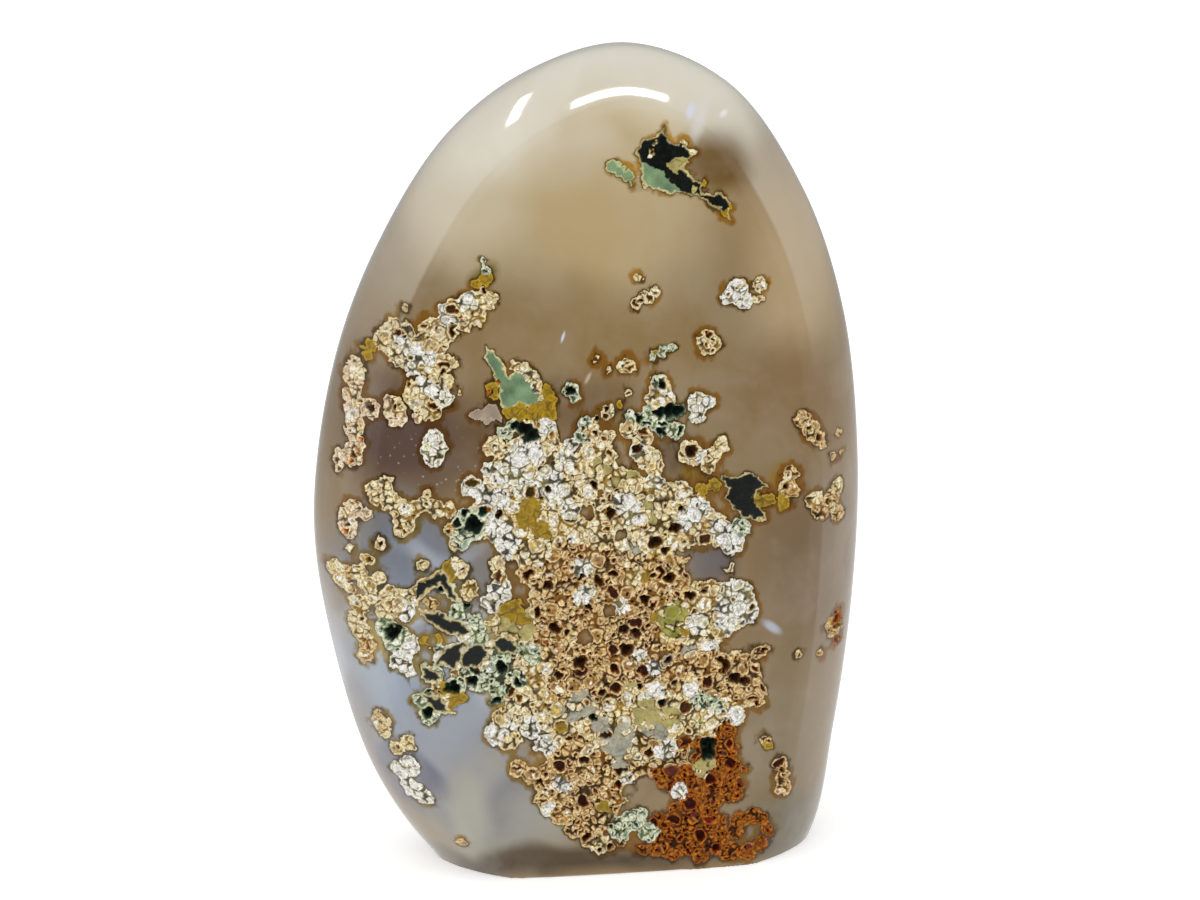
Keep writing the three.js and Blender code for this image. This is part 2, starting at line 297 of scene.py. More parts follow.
LOOKS = {
    Grain.WHITE: GrainLook("6c6236", "fbfaee", "d2d0be", "ffffff", "4a3a16", 0.10, 0.70, 0.7, 0.0, 0.16, 0.1),
    Grain.CREAM: GrainLook("80601c", "f6e6ba", "c8ae78", "fffdf0", "4a2e0e", 0.18, 0.5, 0.8, 0.0, 0.14, 0.15),
    Grain.ROSE: GrainLook("8a5c24", "fae6c6", "d6b890", "fffaf0", "6a3c12", 0.16, 0.42, 0.8, 0.0, 0.14, 0.15),
    Grain.TAN: GrainLook("704808", "ecce98", "a8804a", "fff4da", "3c1c0a", 0.48, 0.24, 0.9, 0.0, 0.10, 0.2),
    Grain.RUST: GrainLook("7e4404", "b46c0a", "642002", "b8782c", "380a02", 0.62, 0.03, 0.7, 0.0, 0.10, 0.3),
    Grain.SAGE: GrainLook("5c6a40", "e2e8cc", "94a892", "fafff0", "14261c", 0.34, 0.40, 0.9, 0.0, 0.16, 0.15),
    Grain.CAVE: GrainLook("24382a", "8aa290", "3c5244", "aac2b2", "0a120e", 0.5, 0.1, 0.6, 0.1, 0.16, 0.1),
    Grain.HOLE: GrainLook("6e4a1c", "dcb478", "8a6234", "cca468", "2a1206", 0.4, 0.1, 0.6, 0.0, 0.12, 0.0),
    Grain.OCHRE: GrainLook("5e4a04", "c09a14", "92740a", "b09010", "4a3a04", relief=0.035, polish=0.7),
    Grain.HONEY: GrainLook("94864a", "c8b87c", "a89c5c", "d6ca9c", "5c4618", relief=0.03, polish=0.7),
    Grain.OLIVE: GrainLook("8a8426", "c0be86", "949030", "d2d4b4", "4c460c", relief=0.03, polish=0.7),
    Grain.PEARL: GrainLook("8a846a", "c4c0aa", "a09c88", "d0ccbe", "4a483c", relief=0.03, polish=0.7),
    Grain.CELADON: GrainLook("5e7a58", "e6d498", "74906c", "a4b894", "3e5a40", relief=0.01, polish=0.85),
    Grain.SLATE: GrainLook("080c0a", "e6d498", "0c120f", "26332b", "060a08", relief=0.004, polish=1),
    Grain.BLUSH: GrainLook("948472", "b0a08c", "968674", "b8aa9c", "6a5648", relief=0.004, polish=1),
}
MIXED_GRAINS = (Grain.HONEY, Grain.OLIVE, Grain.PEARL)

Spot = tuple[float, float, float]


@dataclass(frozen=True)
class Inlay:
    """A flush patch with an outline of its own, whose corners are photo pixels."""

    grain: Grain
    corners: tuple[tuple[float, float], ...]


@dataclass(frozen=True)
class Cluster:
    """One group of crusts that grew together.

    Attributes:
        name: The piece's name.
        nodes: The solids that the piece stands for.
        slot: The record's material slot.
        spots: Globules by grain: photo pixel column and row, and radius in millimetres.
        inlays: Patches with an outline of their own.
        windows: Places where the agate shows through, as spots.
        shards: Outlines of dark glassy patches that lie over everything else.
    """

    name: str
    nodes: tuple[str, ...]
    slot: str
    spots: dict[Grain, tuple[Spot, ...]] = field(default_factory=dict)
    inlays: tuple[Inlay, ...] = ()
    windows: tuple[Spot, ...] = ()
    shards: tuple[tuple[tuple[float, float], ...], ...] = ()


UPPER_LEFT = Cluster("crust_upper_left", ("druzy_crust_upper_left", "druzy_crust_left_ring"), "cream_druzy", {
    Grain.CREAM: (
        (485, 300, 1.4), (475, 315, 1.4), (465, 325, 1.0), (455, 310, 1.4), (437, 328, 1.2), (428, 325, 1.0),
        (450, 335, 1.0), (392, 328, 1.2), (385, 340, 1.4), (395, 350, 1.2), (405, 307, 0.5), (422, 342, 1.2),
        (437, 345, 1.2), (400, 360, 1.2), (445, 363, 1.2), (453, 364, 0.7), (428, 372, 1.4), (415, 393, 1.4),
        (447, 382, 1.0), (420, 403, 1.2), (432, 410, 1.3), (459, 392, 0.4), (418, 418, 0.6), (408, 332, 1.1),
    ),
    Grain.WHITE: (
        (470, 305, 1.5), (448, 322, 1.4), (445, 308, 0.9), (400, 343, 1.3), (415, 357, 1.6), (430, 358, 1.3),
        (412, 370, 1.0), (425, 387, 1.4), (440, 392, 1.2), (446, 400, 1.0), (434, 440, 1.3), (434, 449, 1.5),
        (433, 458, 1.2),
    ),
    Grain.SAGE: ((484, 262, 0.5), (486, 270, 0.6)),
    Grain.OCHRE: ((486, 278, 0.9), (476, 284, 0.7), (372, 345, 0.8), (368, 355, 0.6), (363, 347, 0.35)),
    Grain.HOLE: ((484, 291, 0.45), (404, 338, 0.35), (442, 372, 0.4), (410, 384, 0.4)),
})
LEFT_COLUMN = Cluster("crust_left_column", (
    "druzy_crust_left_column", "druzy_crust_left_pair",
), "tan_druzy", {
    Grain.ROSE: (
        (355, 362, 0.9), (350, 374, 1.0), (355, 385, 1.0), (350, 397, 1.1), (353, 409, 1.3), (354, 421, 1.1),
        (352, 432, 1.0), (357, 443, 1.0), (352, 455, 1.4), (338, 453, 0.6), (338, 461, 0.7), (339, 468, 0.6),
        (370, 408, 1.2), (390, 403, 0.9), (396, 417, 1.2), (417, 418, 0.6), (352, 508, 1.1), (347, 520, 1.2),
        (347, 530, 1.0), (365, 514, 0.7), (380, 543, 0.8),
    ),
    Grain.CREAM: ((357, 372, 1.1), (357, 398, 1.0), (396, 407, 1.3), (358, 428, 0.7), (345, 513, 0.7)),
    Grain.HOLE: ((370, 408, 0.6), (394, 405, 0.4), (347, 523, 0.4), (352, 455, 0.4), (380, 543, 0.35)),
})
LOWER_LEFT = Cluster("crust_lower_left", ("druzy_crust_left_low", "druzy_crust_low_left"), "cream_druzy", {
    Grain.CREAM: (
        (335, 568, 1.1), (342, 580, 1.0), (350, 588, 0.8), (358, 572, 1.2), (368, 585, 1.2), (372, 597, 1.1),
        (390, 595, 1.2), (396, 606, 1.4), (360, 605, 1.3), (357, 620, 1.3), (362, 632, 1.3), (368, 560, 0.9),
        (422, 566, 0.7), (350, 548, 0.5), (380, 578, 0.9), (384, 612, 1.1), (397, 748, 0.9), (408, 742, 1.0),
        (382, 722, 1.3), (383, 731, 1.0),
    ),
    Grain.WHITE: (
        (410, 766, 1.3), (400, 770, 1.2), (408, 782, 1.0), (416, 790, 1.4), (426, 797, 1.2), (406, 612, 1.1),
        (403, 655, 1.3), (407, 668, 1.1), (396, 662, 1.0), (410, 645, 1.2),
    ),
    Grain.TAN: ((367, 645, 1.1), (365, 656, 0.9), (348, 570, 0.8), (380, 716, 0.9), (461, 842, 0.6)),
    Grain.SAGE: ((388, 630, 1.4), (398, 636, 1.3), (394, 645, 1.1), (384, 622, 1.0)),
    Grain.CAVE: ((391, 633, 0.9), (396, 628, 0.6)),
    Grain.HOLE: ((368, 560, 0.4), (349, 577, 0.35), (361, 618, 0.4)),
})
GREEN_TIP = Cluster("inlay_green_tip", ("druzy_crust_green_tip",), "green_druzy", {
    Grain.OCHRE: ((546, 404, 1.2), (536, 412, 1.1), (520, 412, 1.1), (510, 411, 0.9), (548, 392, 0.8),
                  (492, 388, 0.8), (493, 395, 0.7), (551, 414, 0.9)),
    Grain.CREAM: ((514, 366, 0.6), (522, 370, 0.7), (530, 376, 0.8), (537, 386, 0.7), (541, 397, 0.5)),
    Grain.RUST: ((491, 394, 0.6), (499, 384, 0.35)),
}, inlays=(
    Inlay(Grain.CELADON, (
        (488, 346), (486, 360), (491, 370), (496, 381), (500, 390), (498, 402), (505, 407), (520, 405),
        (540, 408), (542, 400), (538, 375), (530, 367), (516, 371), (510, 378), (504, 367), (495, 352))),
    Inlay(Grain.BLUSH, ((470, 416), (481, 407), (492, 403), (500, 410), (501, 421), (490, 420), (486, 426))),
))
DARK_TOP = Cluster("inlay_dark_top", ("druzy_crust_dark_top",), "dark_druzy", {
    Grain.CELADON: ((613, 167, 0.9), (620, 171, 0.8), (628, 176, 0.8), (632, 184, 0.3)),
    Grain.HONEY: ((652, 153, 0.5), (674, 167, 0.9), (693, 190, 0.45), (681, 164, 0.7)),
    Grain.OCHRE: ((731, 206, 0.35), (726, 214, 0.4), (704, 184, 0.35)),
    Grain.CREAM: ((684, 143, 0.4), (692, 151, 0.45), (656, 143, 0.3), (646, 185, 0.3)),
}, inlays=(
    Inlay(Grain.SLATE, (
        (664, 126), (669, 140), (678, 143), (682, 138), (690, 150), (693, 157), (684, 162), (674, 162),
        (687, 172), (693, 176), (700, 183), (703, 192), (715, 193), (720, 191), (728, 200), (733, 203),
        (729, 210), (733, 221), (720, 212), (702, 198), (690, 196), (676, 193), (655, 187), (643, 180),
        (641, 165), (638, 150), (641, 141), (655, 137))),
    Inlay(Grain.CELADON, (
        (641, 162), (655, 168), (668, 178), (682, 194), (672, 193), (655, 188), (643, 181))),
))
UPPER_RIGHT = Cluster("crust_upper_right", (
    "druzy_crust_upper_right", "druzy_crust_upper_disc", "druzy_crust_centre_top",
), "cream_druzy", {
    Grain.WHITE: ((736, 292, 1.5), (729, 297, 1.0), (745, 300, 1.0), (663, 397, 1.2), (709, 343, 1.1)),
    Grain.CREAM: (
        (740, 285, 0.8), (759, 285, 0.9), (758, 299, 0.6), (709, 343, 1.5), (638, 278, 0.45), (636, 304, 0.7),
        (646, 299, 0.8), (655, 292, 0.6), (627, 365, 1.1), (594, 362, 0.2), (598, 357, 0.25), (610, 370, 0.3),
        (607, 413, 1.0), (627, 394, 0.5), (660, 388, 1.4), (655, 399, 1.1), (667, 402, 0.9),
    ),
    Grain.SAGE: ((571, 390, 1.0), (575, 399, 0.7), (653, 356, 0.6), (662, 351, 0.7), (671, 347, 0.6),
                 (658, 383, 0.9)),
    Grain.CAVE: ((570, 390, 0.6), (662, 384, 0.5)),
    Grain.OCHRE: ((621, 403, 0.5), (656, 353, 0.5)),
    Grain.HOLE: ((641, 302, 0.35), (607, 408, 0.4), (714, 338, 0.3)),
})
RIGHT_SIDE = Cluster("crust_right", (
    "druzy_crust_right_high", "druzy_crust_right_mid", "druzy_crust_right_edge", "druzy_crust_low_right",
), "tan_druzy", {
    Grain.TAN: (
        (803, 420, 1.1), (811, 430, 1.2), (818, 438, 1.0), (823, 446, 0.5), (790, 474, 1.1), (790, 489, 1.2),
        (832, 498, 1.2), (822, 510, 1.3), (838, 512, 1.0), (833, 455, 0.6), (842, 452, 0.35), (838, 433, 0.4),
        (780, 763, 1.0), (783, 776, 1.0), (784, 787, 1.1), (798, 655, 0.6), (820, 653, 0.5), (765, 740, 0.7),
    ),
    Grain.CREAM: ((838, 485, 1.0), (815, 500, 1.1), (806, 424, 0.7), (833, 508, 0.8), (787, 484, 0.6)),
    Grain.OCHRE: ((785, 503, 0.8), (783, 496, 0.6), (768, 745, 0.6)),
    Grain.HOLE: ((786, 488, 0.45), (809, 428, 0.4), (828, 500, 0.45), (783, 770, 0.5), (781, 786, 0.4)),
})
RIGHT_RIM = Cluster("crust_right_rim", ("druzy_crust_right_rim",), "rust_druzy", {
    Grain.RUST: ((837, 613, 0.7), (836, 621, 0.8), (837, 640, 0.7)),
    Grain.TAN: ((834, 630, 1.0), (827, 627, 0.5)),
    Grain.OCHRE: ((830, 620, 0.4),),
    Grain.HOLE: ((838, 626, 0.5),),
})
MAIN = Cluster("crust_main", ("druzy_crust_main",), "tan_druzy", {
    Grain.WHITE: (
        (545, 428, 1.4), (530, 442, 1.4), (515, 457, 1.7), (535, 455, 1.3), (510, 475, 1.9), (525, 486, 1.7),
        (490, 470, 1.0), (472, 487, 1.3), (484, 497, 1.3), (500, 500, 1.5), (550, 478, 1.7), (565, 460, 1.3),
        (560, 500, 1.5), (570, 512, 1.3), (548, 490, 1.3), (570, 445, 0.9), (655, 483, 1.2), (640, 452, 1.2),
        (625, 505, 1.5), (635, 515, 1.3), (688, 520, 1.6), (700, 508, 1.3), (720, 530, 1.5), (732, 543, 1.5),
        (500, 530, 1.7), (510, 545, 1.7), (495, 520, 1.2), (585, 568, 1.4), (500, 590, 1.5), (490, 603, 1.2),
        (735, 598, 2.3), (744, 612, 1.7), (728, 608, 1.9), (726, 625, 1.4), (698, 622, 1.4), (698, 404, 1.4),
        (710, 402, 0.8), (697, 416, 0.9), (622, 607, 1.0), (530, 726, 1.5), (544, 745, 1.4), (665, 750, 1.5),
        (655, 690, 1.3), (640, 655, 1.1), (655, 668, 1.0), (585, 594, 1.4), (470, 650, 1.5), (445, 655, 1.2),
        (735, 715, 1.2), (560, 785, 1.2), (627, 778, 1.1), (548, 807, 1.1), (680, 790, 1.1), (690, 690, 1.0),
        (712, 645, 0.9), (495, 735, 1.4), (506, 728, 1.2), (700, 455, 0.8),
    ),
    Grain.CREAM: (
        (590, 432, 1.3), (605, 438, 1.1), (595, 450, 1.3), (608, 455, 1.2), (630, 430, 1.2), (642, 437, 1.4),
        (648, 458, 1.5), (655, 468, 1.1), (495, 448, 1.4), (535, 427, 1.3), (550, 437, 1.2), (575, 480, 1.4),
        (592, 480, 1.2), (590, 500, 1.3), (555, 515, 1.2), (520, 555, 1.6), (535, 547, 1.2), (498, 566, 1.1),
        (500, 577, 1.0), (690, 452, 1.6), (712, 455, 1.2), (720, 445, 1.0), (708, 466, 1.0), (680, 492, 1.4),
        (665, 490, 1.0), (700, 535, 1.3), (375, 490, 1.2), (385, 487, 1.2), (390, 500, 1.4), (400, 509, 1.4),
        (373, 500, 0.6), (406, 520, 1.4), (402, 530, 1.0), (412, 510, 1.2), (425, 505, 1.1), (428, 493, 0.6),
        (436, 509, 1.1), (447, 510, 1.1), (452, 530, 1.0), (729, 567, 0.8), (700, 593, 1.5), (715, 590, 0.9),
        (455, 565, 1.0), (462, 572, 0.9), (470, 590, 1.2), (600, 845, 1.3), (475, 660, 1.3), (520, 663, 1.2),
        (640, 540, 1.6), (455, 545, 0.8), (510, 740, 1.4), (440, 690, 1.2), (445, 700, 1.1), (500, 718, 1.2),
    ),
    Grain.TAN: (
        (750, 675, 1.4), (757, 690, 1.2), (759, 703, 0.7), (758, 653, 1.0), (765, 650, 0.6), (555, 575, 2.0),
        (610, 575, 1.9), (670, 575, 1.9), (555, 605, 2.0), (600, 605, 1.6), (650, 603, 1.7), (560, 628, 1.9),
        (620, 650, 2.4), (570, 665, 2.2), (680, 670, 2.2), (720, 672, 2.0), (740, 665, 1.6), (600, 765, 1.8),
        (570, 745, 1.6), (545, 785, 1.4), (520, 768, 1.1), (532, 776, 1.2), (545, 800, 1.2), (560, 815, 1.3),
        (575, 828, 1.3), (590, 840, 1.2), (585, 800, 1.8), (610, 790, 1.6), (527, 574, 1.3), (550, 640, 1.6),
        (740, 692, 1.5), (560, 690, 1.8), (430, 604, 1.0), (600, 690, 1.8), (650, 745, 1.6), (600, 820, 1.6),
    ),
    Grain.SAGE: (
        (470, 525, 2.1), (505, 432, 1.0), (512, 426, 0.9), (585, 425, 0.9), (582, 437, 1.0), (630, 417, 0.8),
        (645, 420, 0.9), (660, 425, 1.1), (675, 430, 1.1), (650, 412, 0.8), (460, 540, 1.2), (480, 515, 1.0),
        (446, 588, 0.8), (456, 612, 1.1), (474, 625, 1.3), (478, 640, 1.2), (500, 656, 1.5), (515, 650, 1.3),
        (480, 680, 1.6), (470, 670, 1.3), (500, 670, 1.5), (518, 680, 1.3), (430, 702, 1.7), (430, 714, 1.4),
        (422, 700, 1.1), (500, 690, 1.3), (530, 655, 1.6), (700, 700, 1.3), (715, 706, 1.2), (520, 650, 1.0),
        (455, 685, 1.2), (435, 675, 1.1), (437, 645, 0.9), (620, 828, 1.6), (635, 820, 1.5), (650, 832, 1.3),
        (740, 528, 1.3),
    ),
    Grain.RUST: (
        (725, 735, 1.5), (728, 750, 1.5), (722, 770, 1.6), (730, 788, 1.8), (710, 790, 1.6), (690, 778, 1.4),
        (662, 780, 1.2), (700, 815, 2.2), (680, 812, 1.6), (660, 822, 1.3), (690, 838, 1.9), (715, 840, 1.8),
        (740, 820, 1.2), (752, 815, 1.1), (762, 818, 1.0), (766, 830, 0.9), (760, 845, 1.0), (748, 852, 1.1),
        (730, 850, 1.4), (700, 855, 1.2), (672, 850, 1.3), (655, 850, 1.0), (643, 850, 0.7), (735, 832, 0.9),
        (735, 765, 0.9), (745, 767, 0.5), (700, 745, 1.0), (685, 742, 0.9),
    ),
    Grain.OCHRE: (
        (531, 508, 1.5), (526, 520, 1.3), (540, 529, 1.1), (548, 534, 0.7), (702, 490, 1.0), (714, 484, 0.9),
        (762, 500, 0.9), (770, 498, 0.8), (515, 617, 1.2), (450, 570, 1.3), (437, 640, 0.9), (603, 808, 1.1),
        (561, 728, 0.8), (460, 696, 0.8), (425, 640, 0.6), (655, 617, 0.8), (685, 632, 0.6), (508, 612, 1.2),
        (521, 619, 1.3), (515, 608, 1.1), (452, 700, 0.9), (443, 689, 1.1), (645, 578, 0.9),
    ),
    Grain.HONEY: (
        (609, 470, 1.3), (612, 482, 1.0), (633, 476, 0.9), (650, 511, 1.7), (636, 578, 1.3), (650, 712, 2.4),
        (638, 704, 1.4), (666, 716, 1.7), (630, 690, 1.2), (700, 770, 1.4), (710, 765, 1.0), (600, 465, 0.9),
        (503, 626, 1.2), (514, 632, 1.4), (526, 630, 1.2), (498, 616, 0.8), (490, 626, 0.8), (530, 612, 0.8),
    ),
    Grain.OLIVE: ((668, 617, 1.8), (680, 610, 1.2), (672, 628, 1.2), (704, 718, 0.9)),
    Grain.PEARL: (
        (655, 731, 1.7), (625, 735, 1.5), (610, 745, 1.2), (585, 702, 1.8), (572, 712, 1.4), (632, 545, 1.3),
        (620, 755, 1.8), (600, 725, 1.2), (690, 650, 1.0), (670, 660, 0.9), (575, 640, 0.4),
    ),
    Grain.CAVE: (
        (525, 430, 0.9), (531, 435, 0.9), (517, 426, 0.6), (474, 525, 1.1), (662, 431, 0.5), (640, 419, 0.5),
        (670, 411, 0.9), (660, 413, 0.7), (678, 412, 0.7), (467, 606, 0.5), (441, 588, 0.4), (500, 667, 0.6),
        (472, 682, 0.7), (517, 684, 0.5), (452, 687, 0.8), (428, 712, 0.7), (495, 700, 0.5), (708, 745, 1.0),
        (709, 754, 0.9), (592, 717, 0.5), (595, 421, 0.3), (663, 704, 0.5),
    ),
    Grain.HOLE: (
        (638, 449, 0.6), (597, 434, 0.4), (692, 450, 0.9), (527, 574, 0.7), (612, 574, 0.6), (600, 581, 0.7),
        (583, 577, 0.5), (555, 628, 0.8), (568, 632, 0.5), (580, 663, 1.0), (625, 630, 0.8), (637, 633, 0.7),
        (628, 650, 0.9), (670, 660, 0.6), (725, 665, 0.7), (735, 678, 0.9), (745, 680, 0.6), (722, 671, 0.5),
        (670, 578, 0.8), (655, 575, 0.5), (665, 550, 0.6), (655, 542, 0.9), (690, 595, 0.8), (645, 600, 0.8),
        (548, 490, 0.5), (610, 512, 0.8), (595, 485, 0.6), (548, 587, 0.7), (588, 608, 0.5), (500, 515, 0.5),
        (640, 686, 0.5), (675, 683, 0.5), (540, 783, 0.6), (585, 760, 0.6), (650, 752, 0.6), (603, 692, 0.5),
        (680, 510, 0.5), (675, 528, 0.7), (720, 660, 0.5), (600, 850, 0.5), (612, 847, 0.6), (622, 843, 0.5),
        (570, 738, 0.4), (560, 675, 0.6), (705, 590, 0.5),
    ),
}, inlays=(
    Inlay(Grain.SLATE, (
        (722, 475), (740, 475), (752, 472), (760, 480), (768, 486), (758, 492), (756, 498), (762, 508),
        (766, 519), (755, 519), (742, 518), (732, 508), (725, 498), (728, 490))),
    Inlay(Grain.CREAM, (
        (500, 445), (545, 420), (560, 442), (576, 455), (592, 430), (606, 458), (628, 470), (650, 480),
        (700, 498), (730, 522), (742, 548), (700, 546), (672, 552), (686, 585), (715, 580), (752, 590),
        (752, 620), (720, 640), (758, 668), (760, 700), (735, 712), (730, 735), (680, 738), (640, 765),
        (600, 800), (600, 842), (575, 825), (545, 805), (532, 775), (562, 752), (545, 728), (500, 728),
        (508, 690), (470, 680), (440, 694), (460, 655), (490, 640), (525, 640), (530, 605), (522, 560),
        (485, 538), (470, 505))),
    Inlay(Grain.TAN, (
        (560, 540), (600, 548), (640, 556), (690, 556), (690, 600), (660, 640), (710, 650), (758, 668),
        (758, 700), (700, 695), (640, 690), (600, 700), (560, 690), (535, 640), (535, 580))),
    Inlay(Grain.TAN, (
        (560, 740), (600, 770), (650, 760), (690, 745), (690, 780), (640, 780), (600, 840), (575, 825),
        (545, 805), (530, 775))),
    Inlay(Grain.RUST, (
        (700, 738), (735, 735), (738, 790), (725, 800), (730, 845), (700, 858), (660, 852), (650, 830),
        (680, 800), (660, 785), (650, 768), (690, 765))),
), windows=(
    (478, 553, 1.5), (486, 572, 0.9), (512, 566, 0.9), (521, 592, 1.2), (588, 513, 0.9), (620, 535, 0.8),
    (693, 566, 1.1), (707, 568, 1.4), (722, 560, 1.1), (584, 639, 1.0), (609, 611, 0.8), (644, 786, 1.4),
    (655, 798, 1.1), (628, 790, 0.8), (728, 809, 0.9), (750, 833, 0.8), (540, 757, 0.9), (600, 492, 0.5),
    (726, 648, 0.8), (735, 640, 0.8), (572, 652, 0.4), (455, 590, 0.5), (425, 612, 0.8), (432, 640, 0.7),
    (424, 628, 0.7),
), shards=(
    ((396, 596), (418, 582), (440, 570), (448, 577), (461, 603), (450, 598), (439, 583), (428, 589),
     (414, 606)),
    ((419, 611), (438, 612), (449, 618), (462, 621), (470, 634), (461, 640), (449, 632), (440, 628),
     (427, 621)),
    ((432, 668), (444, 649), (466, 641), (462, 655), (457, 669), (444, 665)),
    ((460, 662), (467, 646), (481, 640), (488, 652), (481, 663), (467, 671)),
    ((492, 641), (507, 636), (518, 646), (514, 656), (498, 654)),
    ((423, 665), (442, 675), (438, 686), (423, 678)),
    ((419, 693), (438, 695), (454, 712), (436, 711)),
))
FRONT_CLUSTERS = (MAIN, UPPER_LEFT, LEFT_COLUMN, LOWER_LEFT, GREEN_TIP, DARK_TOP, UPPER_RIGHT, RIGHT_SIDE,
                  RIGHT_RIM)

# The back isn't in the photograph: spots are x, z and radius, all in millimetres
BACK_CLUSTERS = (
    Cluster("crust_back_low", ("druzy_crust_back_low",), "tan_druzy", {
        Grain.TAN: ((6, 14, 2.0), (8, 17.4, 2.1), (5, 20.6, 2.2), (7.8, 23.8, 1.9), (9.6, 20.8, 1.5),
                    (3.6, 16.8, 1.6), (4.4, 12.2, 0.9), (6.3, 26.6, 0.8), (10.6, 15, 0.7)),
        Grain.CREAM: ((5.2, 17.2, 1.6), (7.6, 20.6, 1.8), (6.2, 24, 1.3)),
        Grain.HOLE: ((6.4, 14.6, 0.6), (5.4, 21, 0.7), (8.4, 18.6, 0.5)),
        Grain.OCHRE: ((3, 19.6, 0.8), (9.4, 25.2, 0.7)),
    }),
    Cluster("crust_back_high", ("druzy_crust_back_high",), "cream_druzy", {
        Grain.CREAM: ((-13, 59, 1.6), (-14.8, 62.2, 1.8), (-13, 65.4, 1.5), (-11.8, 62.4, 1.3),
                      (-14.6, 57.4, 0.8), (-12, 67.6, 0.7)),
        Grain.WHITE: ((-14, 60.4, 1.5), (-13.6, 63.8, 1.5)),
        Grain.HOLE: ((-13.4, 58.8, 0.4), (-14.6, 62.8, 0.4)),
    }),
)


